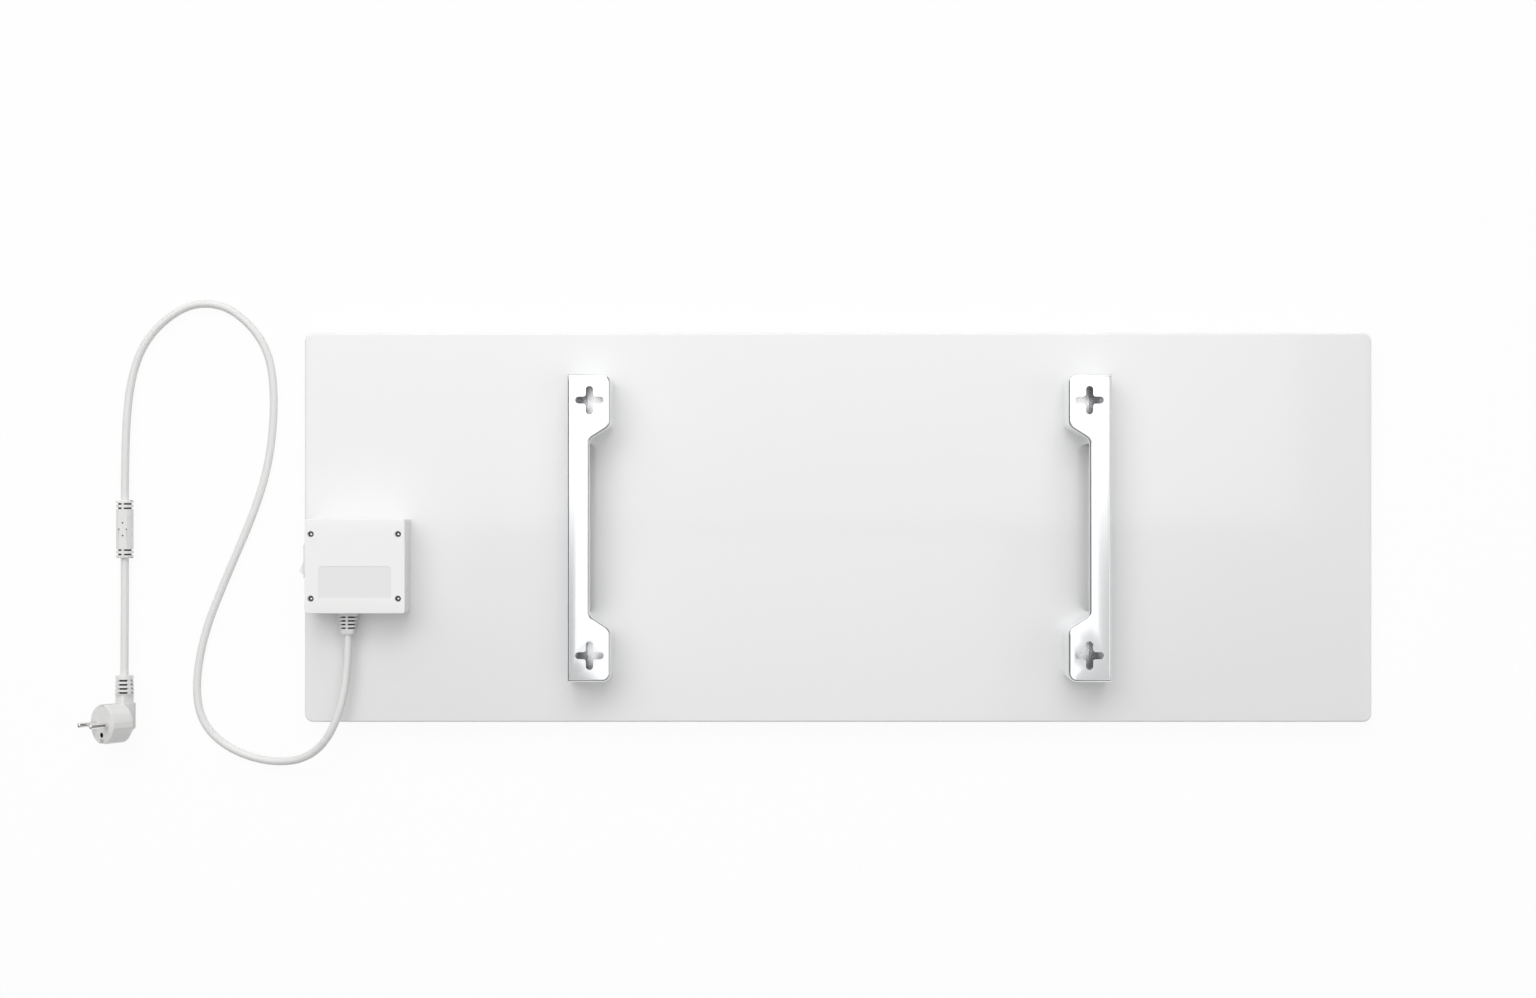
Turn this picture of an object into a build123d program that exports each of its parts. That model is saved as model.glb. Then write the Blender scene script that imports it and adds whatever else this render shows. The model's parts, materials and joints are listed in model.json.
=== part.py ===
from build123d import *

import os
from math import atan2, cos, degrees, hypot, pi, radians, sin, tan

# Infrared panel heater, lying on its radiant face with its back up.
# The origin is under the middle of the panel, on the surface it lies on.
# +X runs along the length, +Y towards the top edge of the hung heater, +Z out of the back.

os.makedirs("parts", exist_ok=True)

# ---------------------------------------------------------------- driving dimensions

fit = 0.05            # radial clearance of rivets, screws and pins in their holes
touch = 0.2           # clearance between nested sheets and shells
running = 0.35        # clearance between moving switch parts

# panel
panel_length = 1000
panel_height = 365
panel_depth = 20
panel_corner = 8
rear_sheet = 0.8
front_sheet = 1
sheet_bend = 2
front_bevel = 1.2
rim_step = 4          # how far the rear rim stops short of the radiant face
bend_room = 1.2       # room between the front rim's edge and the rear sheet

# heating stack
stack_inset = 3       # from the front pan's wall to the stack
film_thickness = 0.8
busbar_width = 10
busbar_thickness = 0.4
busbar_inset = 12     # from the film's long edge to the busbar's centre
busbar_end = 20       # from the film's short edge to the busbar's end
mica_thickness = 0.4
foil_thickness = 0.3
lead_radius = 1.2
lead_bend = 3
lead_sides = 6          # leads and small hidden rounds are drawn with flats
cord_sides = 8
round_sides = 8
duct_width = 8
duct_depth = 6
lead_hole = 6
cutout_radius = 8
cutout_case = 9       # height of a thermal cutout's case
cutout_places = (50, 100)
cutout_lug = (4, 0.8, 5)
cutout_lug_offset = 5

# brackets
bracket_span = 501.5          # over both outer webs
bracket_length = 284
standoff = 35
bracket_sheet = 1.5
bracket_bend = 1.8
strip_width = 20.75
tab_width = 40.25
tab_straight = 48.5           # from the bracket's end to the slanted edge
tab_slant = 12.2              # how far the slanted edge runs along the bracket
end_radius = 8
slant_outer_radius = 9
slant_inner_radius = 7
lip_depth = 4
keyhole_inset_x = 20.75        # from the outer web to a keyhole's middle
keyhole_inset_y = 24.5         # from the bracket's end to a keyhole's middle
keyhole_span = 26.2
keyhole_slot = 6.5
keyhole_flare = 2.6            # of the corners between two slots
foot_width = 14
inner_foot_width = 9
inner_foot_length = 30
rivet_radius = 1.6
rivet_head_radius = 3.3
rivet_head = 1.2
rivet_pocket_radius = 4.5
rivet_pocket_depth = 2
web_rivet_inset = 14          # from the bracket's end

# terminal box
box_end_gap = 7               # from the panel's end to the box
box_bottom = -79              # from the panel's middle
box_width = 92.5
box_height = 87.3
box_depth = 31
box_wall = 2.2
box_corner = 2.5
box_edge = 0.7
base_plate = 2
screw_span_x = 80.4
screw_span_y = 59.5
screw_inset_x = 5.7
screw_inset_y = 13.7
screw_radius = 1.5
screw_head_radius = 2.3
screw_head = 2
screw_recess_radius = 2.8
screw_recess = 4.5
screw_bite = 10
boss_radius = 3.3
column_width = 7.2            # of the cover's screw columns
boss_joint = 20               # height of the base's bosses above the rear sheet
label_recess = (67, 29.5)
label_recess_depth = 0.35
label_recess_inset = (13, 14)
label_recess_radius = 2.2
base_rivet_inset = 13
base_rivet_edge = 4.5
drive_radius = 1.1
drive_depth = 1.1
drive_slot = 0.8

# rocker switch; its own frame has the pivot at the origin, a along Y and b outwards
switch_offset = 48            # from the box's lower edge
switch_rise = 15.5            # above the rear sheet
bezel = (30.7, 25)
bezel_thickness = 1.8
bezel_edge = 0.6
well = (26, 20)               # the hollow that the rocker sits in
housing_wall = 1
housing_bottom = 17
housing_floor = 1.5
pivot_depth = 4
rocker_angle = 12
rocker_radius = 12.6
rocker_width = 19.2
rocker_skin = 1.6
rocker_skirt_angle = 5
rocker_skirt_wall = 1.35
hub_half = 3.2
hub_depth = 3
trunnion_radius = 1.5
trunnion_length = 1.25
pole_spacing = 10
guide_radius = 2.8
guide_depth = 5.5
guide_top = 0.5
plunger_radius = 1.7
plunger_tip_radius = 1
plunger_reach = 8.85
plunger_shoulder = 6
plunger_top = 2.5
spring_radius = 1.6
spring_bore = 1
lever_angle = 7
lever_pivot_depth = 10
lever_crown = 0.655
lever_half = 9
lever_width = 4
lever_thickness = 1
contact_offset = 7.5
contact_radius = 1.5
contact_height = 0.8
terminal_width = 6.3
terminal_thickness = 0.8
terminal_reach = 28
saddle_ear = 1.1
snap_length = 4
snap_height = 0.6
snap_width = 10
stop_rib = 1.5

# wiring inside the terminal box
block_place = (47, 27)        # from the box's left and lower edges
block_size = (18, 36, 16)
block_pitch = 12
port_radius = 1.6
port_depth = 4
port_height = 6
block_screw_radius = 2.2
block_screw_inset = 4.5
block_screw_depth = 7
block_screw_length = 5
block_groove = (1.2, 3)
core_radius = 1.1
core_start = 5                # straight run of a core out of the jacket
core_rise = 15                # how far past the jacket a core reaches its terminal's height
core_tab_inset = 4.2          # from a terminal's end to the core soldered on it
lead_start = 6                # straight run of a lead off a terminal or a port
grommet_place = (78, 45)
grommet_neck_radius = 6
grommet_flange_radius = 7.5
grommet_flange = 1.5
grommet_bore_radius = 4.8
lead_pair_half = 1.5
stud_place = (73, 17)
stud_radius = 2
stud_length = 11
stud_head_radius = 4
stud_head = 1.5
nut_flats = 7
nut_height = 3.2
washer_height = 0.8
lug_radius = 4.2
lug_plate = 1.2
lug_barrel_radius = 2.1
lug_barrel_length = 5

# mains cord, its strain reliefs and its clamp
cord_radius = 3.7
cord_offset = 36              # from the box's left edge
cord_exit_height = 11         # of the cord's axis above the rear sheet
relief_length = 20.3
relief_root = (18.6, 14)
relief_end = (12, 10.6)
relief_corner = 2.5
relief_core_radius = 5
relief_spine = 1.9
relief_slot = 1.6
relief_pitch = 3.4
relief_rows = 4
relief_first = 4.2            # from the wall to the first slot's middle
relief_neck_radius = 6.5
relief_flange_radius = 8.5
relief_flange = 2
clamp_offset = 9              # from the wall's inner face to the clamp's middle
clamp_size = (26, 8, 5)
clamp_gap = 1.6
clamp_screw_spacing = 18
clamp_screw_bite = 6
cord_inside = 18.8            # from the wall's inner face to where the jacket is cut
cord_first_run = 41.7         # straight out of the strain relief
cord_drift = 13               # how far it has turned left where it passes the panel's edge
cord_last_run = 57.6          # straight into the inline suppressor
# the free route, each point from the box's left edge, the panel's middle and the surface
cord_route = [
    (-2.5, -216.5, 23), (-42, -222, 9), (-82, -210, 4), (-107.5, -186, 3.9),
    (-114.3, -150.5, 3.9), (-105.5, -100, 3.9), (-87.5, -54, 3.9), (-53.5, 25, 3.9),
    (-41, 78, 3.9), (-39, 139, 3.9), (-49, 176.5, 3.9), (-77, 205.5, 3.9),
    (-105.5, 213, 3.9), (-132.5, 204.5, 3.9), (-160.5, 178.5, 3.9), (-175, 141.5, 4.2),
]
core_places = ((-1.6, 1.2), (-0.6, -1.5), (1.7, 0.6))     # of the cores in the jacket

# inline suppressor on the cord
inline_offset = -179.5        # from the box's left edge
inline_y = -1.8
inline_axis_height = 7
inline_size = (13.8, 54.4)
inline_corner = 2.6
inline_edge = 1
inline_slot_places = (3.4, 7.5)
inline_slot = 1.6
inline_core_radius = 5
inline_spine = 1.9
ferrite_radius = 5.4
ferrite_bore = 3.85
ferrite_length = 28
pin_mark_radius = 0.7
pin_mark_offset = (4.05, 6)
pin_mark_depth = 2

# moulded angled plug, two round pins and side earth contacts
plug_y = -183.7
plug_shift = 0.5              # of the plug's cord beside the inline suppressor's axis
plug_radius = 18.5
plug_body_depth = 21
plug_edge = 0.8
plug_rib = (5.4, 0.8)
fin_end = 35
fin_half = 2
fin_neck_half = 1.5
fin_bead = 1.8
fin_root_half = 8
fin_bite = 2                  # how deep the wedge roots in the round body
fin_root = 23.5
fin_top = 17.5
fin_bottom = 14.5
fin_chamfer = (13, 8.5)
fin_dot_radius = 0.8
fin_dot_place = (4.5, 12)     # behind the plug's body, along the cord
plug_exit = 24.3              # from the plug's face back to the cord's axis
plug_neck = 13
plug_neck_corner = 2
plug_neck_top = 26.7
plug_relief_length = 17.4
plug_relief_radii = (8.9, 8.0)
plug_relief_core = 5.2
plug_relief_spine = 4
plug_relief_slot = 1.6
plug_relief_pitch = 3.8
plug_relief_first = 1.6
pin_radius = 2.4
pin_length = 19
pin_spacing = 19
pin_root = 12
pin_tip = 1.2
earth_socket_y = -10
earth_socket_radius = 2.5
earth_sleeve_wall = 0.5
earth_socket_depth = 17
earth_socket_end = 1
clip_groove = (6.4, 2.6, 16)
clip_notch_depth = 4.9
clip_notch_length = 2
clip_width = 5
clip_thickness = 0.8
clip_hump = 1
clip_foot = 3
clip_lead = 2                 # length of a contact's sloped front
bridge_radius = 16.2          # of the hard carrier that holds the pins
bridge_depth = 18

# ---------------------------------------------------------------- heights and shared places

rear_top = panel_depth
rear_under = panel_depth - rear_sheet
front_length = panel_length - 2 * (rear_sheet + touch)
front_height = panel_height - 2 * (rear_sheet + touch)
front_corner = panel_corner - rear_sheet - touch
stack_length = front_length - 2 * (front_sheet + stack_inset)
stack_height = front_height - 2 * (front_sheet + stack_inset)
film_top = front_sheet + film_thickness
mica_top = film_top + mica_thickness
foil_top = mica_top + foil_thickness
busbar_spacing = stack_height - 2 * busbar_inset
busbar_length = stack_length - 2 * busbar_end
duct_bottom = rear_under - duct_depth
lead_z = rear_under - duct_depth / 2
drop_y = busbar_spacing / 2

bracket_top = panel_depth + standoff
web_x = bracket_span / 2
foot_x = web_x - bracket_sheet - foot_width / 2
inner_foot_x = web_x - tab_width + bracket_sheet + inner_foot_width / 2
keyhole_x = web_x - keyhole_inset_x
tab_centre_y = bracket_length / 2 - keyhole_inset_y
web_rivet_y = bracket_length / 2 - web_rivet_inset
web_rivets = [(side * foot_x, way * web_rivet_y) for side in (-1, 1) for way in (-1, 1)]
tab_rivets = [(side * inner_foot_x, way * tab_centre_y) for side in (-1, 1) for way in (-1, 1)]
bracket_rivet_points = web_rivets + tab_rivets

box_left = box_end_gap - panel_length / 2
box_x = box_left + box_width / 2
box_y = box_bottom + box_height / 2
box_top = panel_depth + box_depth
box_inside_left = box_left + box_wall
box_inside_bottom = box_bottom + box_wall
plate_top = panel_depth + base_plate
plate_width = box_width - 2 * (box_wall + touch)
plate_height = box_height - 2 * (box_wall + touch)
screw_x = box_left + screw_inset_x + screw_span_x / 2
screw_y = box_bottom + screw_inset_y + screw_span_y / 2
right_inset_x = box_width - screw_inset_x - screw_span_x
boss_top = panel_depth + boss_joint
recess_floor = box_top - screw_recess
base_rivet_points = [
    (box_x + side * (plate_width / 2 - base_rivet_inset), box_y + plate_height / 2 - base_rivet_edge)
    for side in (-1, 1)
]

cord_x = box_left + cord_offset
cord_z = panel_depth + cord_exit_height
cord_exit_y = box_bottom - relief_length
cord_cut_y = box_inside_bottom + cord_inside
clamp_y = box_inside_bottom + clamp_offset
saddle_top = cord_z - clamp_gap / 2
clamp_bottom = cord_z + clamp_gap / 2
clamp_top = clamp_bottom + clamp_size[2]

block_left = box_left + block_place[0]
block_bottom = box_bottom + block_place[1]
block_x = block_left + block_size[0] / 2
block_y = block_bottom + block_size[1] / 2
port_z = plate_top + port_height
port_ys = [block_y + pole * block_pitch for pole in (-1, 0, 1)]
left_port_end = block_left + port_depth
right_port_end = block_left + block_size[0] - port_depth
grommet_x = box_left + grommet_place[0]
grommet_y = box_bottom + grommet_place[1]
stud_x = box_left + stud_place[0]
stud_y = box_bottom + stud_place[1]

switch_y = box_bottom + switch_offset
switch_z = panel_depth + switch_rise
pivot_x = box_left - bezel_thickness + pivot_depth
housing_depth = housing_bottom + housing_floor
pole_offsets = (-pole_spacing / 2, pole_spacing / 2)
switch_plane = Plane(origin=(pivot_x, switch_y, switch_z), x_dir=(0, 1, 0), z_dir=(0, 0, 1))
tab_end_x = pivot_x + terminal_reach
common_y = switch_y
output_y = switch_y + contact_offset
live_z = switch_z + pole_spacing / 2
neutral_z = switch_z - pole_spacing / 2

inline_x = box_left + inline_offset
inline_top_y = inline_y + inline_size[1] / 2
inline_bottom_y = inline_y - inline_size[1] / 2

# The plug lies on its rim and on the edge of its grip fin, which sets its roll.
rim_reach = plug_radius + plug_rib[1]
plug_roll = degrees(atan2(rim_reach - fin_half, fin_end - plug_body_depth))
rest_length = hypot(fin_end - plug_body_depth, rim_reach - fin_half)
rest_area = (fin_end - plug_body_depth) * rim_reach - (rim_reach - fin_half) * (plug_exit - plug_body_depth)
plug_axis_height = rest_area / rest_length
plug_axis_x = inline_x + plug_shift
plug_u = Vector(-cos(radians(plug_roll)), 0, sin(radians(plug_roll)))
plug_v = Vector(sin(radians(plug_roll)), 0, cos(radians(plug_roll)))
plug_face = Vector(plug_axis_x, plug_y, plug_axis_height) + plug_u * plug_exit
face_plane = Plane(origin=plug_face, x_dir=plug_v, z_dir=plug_u)
plug_cord_y = plug_y + plug_neck_top + plug_relief_length


# ---------------------------------------------------------------- shapes used more than once

def cord_part(points, bends):
    """A free cord along straight runs joined by tangent arcs, its round drawn with flats."""
    with BuildPart() as cord:
        with BuildLine() as path:
            FilletPolyline(*points, radius=bends)
        with BuildSketch(Plane(origin=points[0], z_dir=path.line % 0)):
            RegularPolygon(cord_radius, cord_sides)
        sweep(path=path.line)
    return cord.part


def lead_part(points, radius):
    """An inner lead along straight runs, each corner cut where its bend begins and ends."""
    runs = [Vector(*points[0])]
    for before, corner, after in zip(points, points[1:], points[2:]):
        for end in (before, after):
            way = Vector(*end) - Vector(*corner)
            runs.append(Vector(*corner) + way.normalized() * min(lead_bend, 0.4 * way.length))
    runs.append(Vector(*points[-1]))
    with BuildPart() as lead:
        with BuildLine() as path:
            Polyline(*runs)
        with BuildSketch(Plane(origin=runs[0], z_dir=runs[1] - runs[0])):
            RegularPolygon(radius, lead_sides)
        sweep(path=path.line, transition=Transition.RIGHT)
    return lead.part


def route_bends(points):
    """For each corner of a cord's route, the arc that takes 0.45 of its shorter run."""
    bends = []
    for before, corner, after in zip(points, points[1:], points[2:]):
        run_in = Vector(*corner) - Vector(*before)
        run_out = Vector(*after) - Vector(*corner)
        turn = run_in.get_angle(run_out)
        bends.append(0.45 * min(run_in.length, run_out.length) / tan(radians(turn / 2)))
    return bends


def bracket_outline():
    """The right-hand bracket's outline in plan: a strip with a wide tab at each end."""
    strip_x = web_x - strip_width
    tab_x = web_x - tab_width
    end_y = bracket_length / 2
    slant_y = end_y - tab_straight
    with BuildSketch() as outline:
        with BuildLine():
            Polyline(
                (web_x, end_y), (tab_x, end_y), (tab_x, slant_y), (strip_x, slant_y - tab_slant),
                (strip_x, tab_slant - slant_y), (tab_x, -slant_y), (tab_x, -end_y), (web_x, -end_y),
                close=True,
            )
        make_face()
        # the ends are square at the outer bend and rounded at the tabs
        ends = outline.vertices().group_by(Axis.Y)
        fillet([corner for corner in ends[0] + ends[-1] if corner.X < web_x - 1], end_radius)
        tab_edge = outline.vertices().filter_by_position(Axis.X, tab_x - 1, tab_x + 1)
        slant_start = tab_edge.filter_by_position(Axis.Y, -slant_y - 1, slant_y + 1)
        fillet(slant_start, slant_outer_radius)
        strip_edge = outline.vertices().filter_by_position(Axis.X, strip_x - 1, strip_x + 1)
        fillet(strip_edge, slant_inner_radius)
    return outline.sketch


def keyhole():
    """A wall-screw keyhole: a cross of two round-ended slots whose inner corners flare."""
    with BuildSketch() as cross:
        SlotOverall(keyhole_span, keyhole_slot)
        SlotOverall(keyhole_span, keyhole_slot, rotation=90)
        fillet(cross.vertices().sort_by_distance((0, 0, 0))[:4], keyhole_flare)
    return cross.sketch


# ---------------------------------------------------------------- panel

with BuildPart() as front_panel:
    with BuildSketch():
        RectangleRounded(front_length, front_height, front_corner)
    extrude(amount=rear_under - bend_room)
    chamfer(front_panel.faces().sort_by(Axis.Z)[0].edges(), front_bevel)
    with BuildSketch(Plane.XY.offset(front_sheet)):
        RectangleRounded(
            front_length - 2 * front_sheet, front_height - 2 * front_sheet, front_corner - front_sheet,
        )
    extrude(amount=rear_under - bend_room - front_sheet, mode=Mode.SUBTRACT)
front_panel.part.label = "front_panel"
export_step(front_panel.part, "parts/front_panel.step")

with BuildPart() as rear_panel:
    with BuildSketch(Plane.XY.offset(rim_step)):
        RectangleRounded(panel_length, panel_height, panel_corner)
    extrude(amount=panel_depth - rim_step)
    fillet(rear_panel.faces().sort_by(Axis.Z)[-1].edges(), sheet_bend)
    with BuildSketch(Plane.XY.offset(rim_step)):
        RectangleRounded(
            panel_length - 2 * rear_sheet, panel_height - 2 * rear_sheet, panel_corner - rear_sheet,
        )
    extrude(amount=rear_under - rim_step, mode=Mode.SUBTRACT)
    with BuildSketch(Plane.XY.offset(rear_under)):
        with Locations(*bracket_rivet_points, *base_rivet_points):
            RegularPolygon(rivet_radius + fit, lead_sides)
        with Locations((grommet_x, grommet_y)):
            RegularPolygon(grommet_neck_radius + fit, round_sides)
        with Locations((stud_x, stud_y)):
            RegularPolygon(stud_radius + fit, round_sides)
    extrude(amount=rear_sheet, mode=Mode.SUBTRACT)
rear_panel.part.label = "rear_panel"
export_step(rear_panel.part, "parts/rear_panel.step")

# ---------------------------------------------------------------- heating stack

with BuildPart() as heating_film:
    with BuildSketch(Plane.XY.offset(front_sheet)):
        Rectangle(stack_length, stack_height)
    extrude(amount=film_thickness)
    with BuildSketch(Plane.XY.offset(film_top - busbar_thickness)):
        with GridLocations(0, busbar_spacing, 1, 2):
            Rectangle(busbar_length, busbar_width)
    extrude(amount=busbar_thickness, mode=Mode.SUBTRACT)
heating_film.part.label = "heating_film"
export_step(heating_film.part, "parts/heating_film.step")

with BuildPart() as busbars:
    with BuildSketch(Plane.XY.offset(film_top - busbar_thickness)):
        with GridLocations(0, busbar_spacing, 1, 2):
            Rectangle(busbar_length, busbar_width)
    extrude(amount=busbar_thickness)
busbars.part.label = "busbars"
export_step(busbars.part, "parts/busbars.step")

with BuildPart() as mica_sheet:
    with BuildSketch(Plane.XY.offset(film_top)):
        Rectangle(stack_length, stack_height)
        with Locations((grommet_x, -drop_y), (grommet_x, drop_y)):
            Rectangle(lead_hole, lead_hole, mode=Mode.SUBTRACT)
    extrude(amount=mica_thickness)
mica_sheet.part.label = "mica_sheet"
export_step(mica_sheet.part, "parts/mica_sheet.step")

with BuildPart() as reflector_foil:
    with BuildSketch(Plane.XY.offset(mica_top)):
        Rectangle(stack_length, stack_height)
        with Locations((grommet_x, -drop_y), (grommet_x, drop_y)):
            Rectangle(lead_hole, lead_hole, mode=Mode.SUBTRACT)
    extrude(amount=foil_thickness)
reflector_foil.part.label = "reflector_foil"
export_step(reflector_foil.part, "parts/reflector_foil.step")

with BuildPart() as insulation_board:
    with BuildSketch(Plane.XY.offset(foil_top)):
        Rectangle(stack_length, stack_height)
        with Locations((grommet_x, -drop_y), (grommet_x, drop_y)):
            Rectangle(lead_hole, lead_hole, mode=Mode.SUBTRACT)
        with Locations(*[(grommet_x, place) for place in cutout_places]):
            RegularPolygon(cutout_radius + touch, round_sides, mode=Mode.SUBTRACT)
    extrude(amount=rear_under - foil_top)
    with BuildSketch(Plane.XY.offset(duct_bottom)):
        with Locations((grommet_x, 0)):
            Rectangle(duct_width, 2 * drop_y + duct_width)
        with Locations((grommet_x, grommet_y)):
            RegularPolygon(grommet_flange_radius + 1, round_sides)
    extrude(amount=duct_depth, mode=Mode.SUBTRACT)
    with BuildSketch(Plane.XY.offset(rear_under - rivet_pocket_depth)):
        with Locations(*bracket_rivet_points, *base_rivet_points, (stud_x, stud_y)):
            Rectangle(2 * rivet_pocket_radius, 2 * rivet_pocket_radius)
    extrude(amount=rivet_pocket_depth, mode=Mode.SUBTRACT)
insulation_board.part.label = "insulation_board"
export_step(insulation_board.part, "parts/insulation_board.step")

with BuildPart() as thermal_cutouts:
    with BuildSketch(Plane.XY.offset(foil_top)):
        with Locations(*[(grommet_x, place) for place in cutout_places]):
            RegularPolygon(cutout_radius, round_sides)
    extrude(amount=cutout_case)
    with BuildSketch(Plane.XY.offset(foil_top + cutout_case)):
        with Locations(*[(grommet_x, place) for place in cutout_places]):
            with GridLocations(0, 2 * cutout_lug_offset, 1, 2):
                Rectangle(cutout_lug[0], cutout_lug[1])
    extrude(amount=cutout_lug[2])
thermal_cutouts.part.label = "thermal_cutouts"
export_step(thermal_cutouts.part, "parts/thermal_cutouts.step")

# The live lead runs from the terminal block through the grommet and both cutouts to the busbar.
lug_face = cutout_lug_offset + cutout_lug[1] / 2
live_drop = grommet_y + lead_pair_half
live_route = [
    (right_port_end, port_ys[2], port_z), (grommet_x, port_ys[2], port_z),
    (grommet_x, live_drop, port_z), (grommet_x, live_drop, lead_z),
    (grommet_x, cutout_places[0] - lug_face, lead_z),
]
link_route = [
    (grommet_x, cutout_places[0] + lug_face, lead_z),
    (grommet_x, cutout_places[1] - lug_face, lead_z),
]
busbar_route = [
    (grommet_x, cutout_places[1] + lug_face, lead_z), (grommet_x, drop_y, lead_z),
    (grommet_x, drop_y, film_top),
]
with BuildPart() as live_leads:
    add(lead_part(live_route, lead_radius))
    add(lead_part(link_route, lead_radius))
    add(lead_part(busbar_route, lead_radius))
live_leads.part.label = "live_leads"
export_step(live_leads.part, "parts/live_leads.step")

neutral_drop = grommet_y - lead_pair_half
neutral_route = [
    (right_port_end, port_ys[1], port_z), (right_port_end + lead_start, port_ys[1], port_z),
    (grommet_x, neutral_drop, port_z), (grommet_x, neutral_drop, lead_z),
    (grommet_x, -drop_y, lead_z), (grommet_x, -drop_y, film_top),
]
with BuildPart() as neutral_lead:
    add(lead_part(neutral_route, lead_radius))
neutral_lead.part.label = "neutral_lead"
export_step(neutral_lead.part, "parts/neutral_lead.step")

# ---------------------------------------------------------------- hanging brackets

with BuildPart() as bracket_right:
    with BuildSketch(Plane.XY.offset(panel_depth)):
        add(bracket_outline())
    extrude(amount=standoff)
    chamfer(bracket_right.faces().sort_by(Axis.Z)[-1].edges(), bracket_bend)
    with BuildSketch(Plane.XY.offset(panel_depth)):
        add(bracket_outline())
        offset(amount=-bracket_sheet, mode=Mode.REPLACE)
    extrude(amount=standoff - bracket_sheet, mode=Mode.SUBTRACT)
    # between the tabs the strip has no inner wall, only a turned-down lip
    with BuildSketch(Plane.XY.offset(panel_depth)):
        with Locations((web_x - strip_width, 0)):
            Rectangle(4 * bracket_sheet, bracket_length - 2 * (tab_straight + tab_slant + end_radius))
    extrude(amount=standoff - lip_depth, mode=Mode.SUBTRACT)
    # feet turned inwards on the rear sheet
    with BuildSketch(Plane.XY.offset(panel_depth)):
        with Locations((foot_x, 0)):
            Rectangle(foot_width, bracket_length - 2 * end_radius)
        with Locations((inner_foot_x, tab_centre_y), (inner_foot_x, -tab_centre_y)):
            Rectangle(inner_foot_width, inner_foot_length)
    extrude(amount=bracket_sheet)
    with BuildSketch(Plane.XY.offset(panel_depth)):
        with Locations(*[point for point in bracket_rivet_points if point[0] > 0]):
            RegularPolygon(rivet_radius + fit, lead_sides)
    extrude(amount=bracket_sheet, mode=Mode.SUBTRACT)
    with BuildSketch(Plane.XY.offset(bracket_top - bracket_sheet)):
        with Locations((keyhole_x, tab_centre_y), (keyhole_x, -tab_centre_y)):
            add(keyhole())
    extrude(amount=bracket_sheet, mode=Mode.SUBTRACT)
bracket_right.part.label = "bracket_right"
export_step(bracket_right.part, "parts/bracket_right.step")

with BuildPart() as bracket_left:
    add(bracket_right.part)
    mirror(about=Plane.YZ, mode=Mode.REPLACE)
bracket_left.part.label = "bracket_left"
export_step(bracket_left.part, "parts/bracket_left.step")

with BuildPart() as bracket_rivets:
    with BuildSketch(Plane.XY.offset(rear_under - rivet_head)):
        with Locations(*bracket_rivet_points):
            RegularPolygon(rivet_head_radius, lead_sides)
    extrude(amount=rivet_head)
    with BuildSketch(Plane.XY.offset(rear_under)):
        with Locations(*bracket_rivet_points):
            RegularPolygon(rivet_radius, lead_sides)
    extrude(amount=rear_sheet + bracket_sheet)
    with BuildSketch(Plane.XY.offset(panel_depth + bracket_sheet)):
        with Locations(*bracket_rivet_points):
            RegularPolygon(rivet_head_radius, round_sides)
    extrude(amount=rivet_head)
bracket_rivets.part.label = "bracket_rivets"
export_step(bracket_rivets.part, "parts/bracket_rivets.step")

# ---------------------------------------------------------------- terminal box

with BuildPart() as terminal_box_base:
    with BuildSketch(Plane.XY.offset(panel_depth)):
        with Locations((box_x, box_y)):
            Rectangle(plate_width, plate_height)
        # tongue that closes the cord's notch in the cover
        with Locations((cord_x, box_inside_bottom + touch)):
            Rectangle(2 * relief_neck_radius, box_wall, align=(Align.CENTER, Align.MAX))
    extrude(amount=base_plate)
    with BuildSketch(Plane.XY.offset(plate_top)):
        with Locations((screw_x, screw_y)):
            with GridLocations(screw_span_x, screw_span_y, 2, 2):
                RegularPolygon(boss_radius, round_sides)
    extrude(amount=boss_top - plate_top)
    with BuildSketch(Plane.XY.offset(plate_top)):
        with Locations((cord_x, clamp_y)):
            Rectangle(clamp_size[0], clamp_size[1])
        with Locations((cord_x, box_inside_bottom + touch)):
            Rectangle(2 * relief_neck_radius, box_wall, align=(Align.CENTER, Align.MAX))
    extrude(amount=saddle_top - plate_top)
    # groove for the cord and seat for the strain relief's neck
    with BuildSketch(Plane.XZ.offset(-clamp_y - clamp_size[1])):
        with Locations((cord_x, cord_z)):
            RegularPolygon(cord_radius + fit, cord_sides)
    extrude(amount=2 * clamp_size[1], mode=Mode.SUBTRACT)
    with BuildSketch(Plane.XZ.offset(-box_inside_bottom - touch)):
        with Locations((cord_x, cord_z)):
            RegularPolygon(relief_neck_radius + fit, round_sides)
    extrude(amount=box_wall + touch, mode=Mode.SUBTRACT)
    # screw holes
    with BuildSketch(Plane.XY.offset(boss_top - screw_bite)):
        with Locations((screw_x, screw_y)):
            with GridLocations(screw_span_x, screw_span_y, 2, 2):
                RegularPolygon(screw_radius + fit, lead_sides)
    extrude(amount=screw_bite, mode=Mode.SUBTRACT)
    with BuildSketch(Plane.XY.offset(saddle_top - clamp_screw_bite)):
        with Locations((cord_x, clamp_y)):
            with GridLocations(clamp_screw_spacing, 0, 2, 1):
                RegularPolygon(screw_radius + fit, lead_sides)
    extrude(amount=clamp_screw_bite, mode=Mode.SUBTRACT)
    with BuildSketch(Plane.XY.offset(panel_depth)):
        with Locations(*base_rivet_points):
            RegularPolygon(rivet_radius + fit, lead_sides)
        with Locations((grommet_x, grommet_y)):
            RegularPolygon(grommet_neck_radius + fit, round_sides)
        with Locations((stud_x, stud_y)):
            RegularPolygon(stud_radius + fit, round_sides)
    extrude(amount=base_plate, mode=Mode.SUBTRACT)
terminal_box_base.part.label = "terminal_box_base"
export_step(terminal_box_base.part, "parts/terminal_box_base.step")

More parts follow.
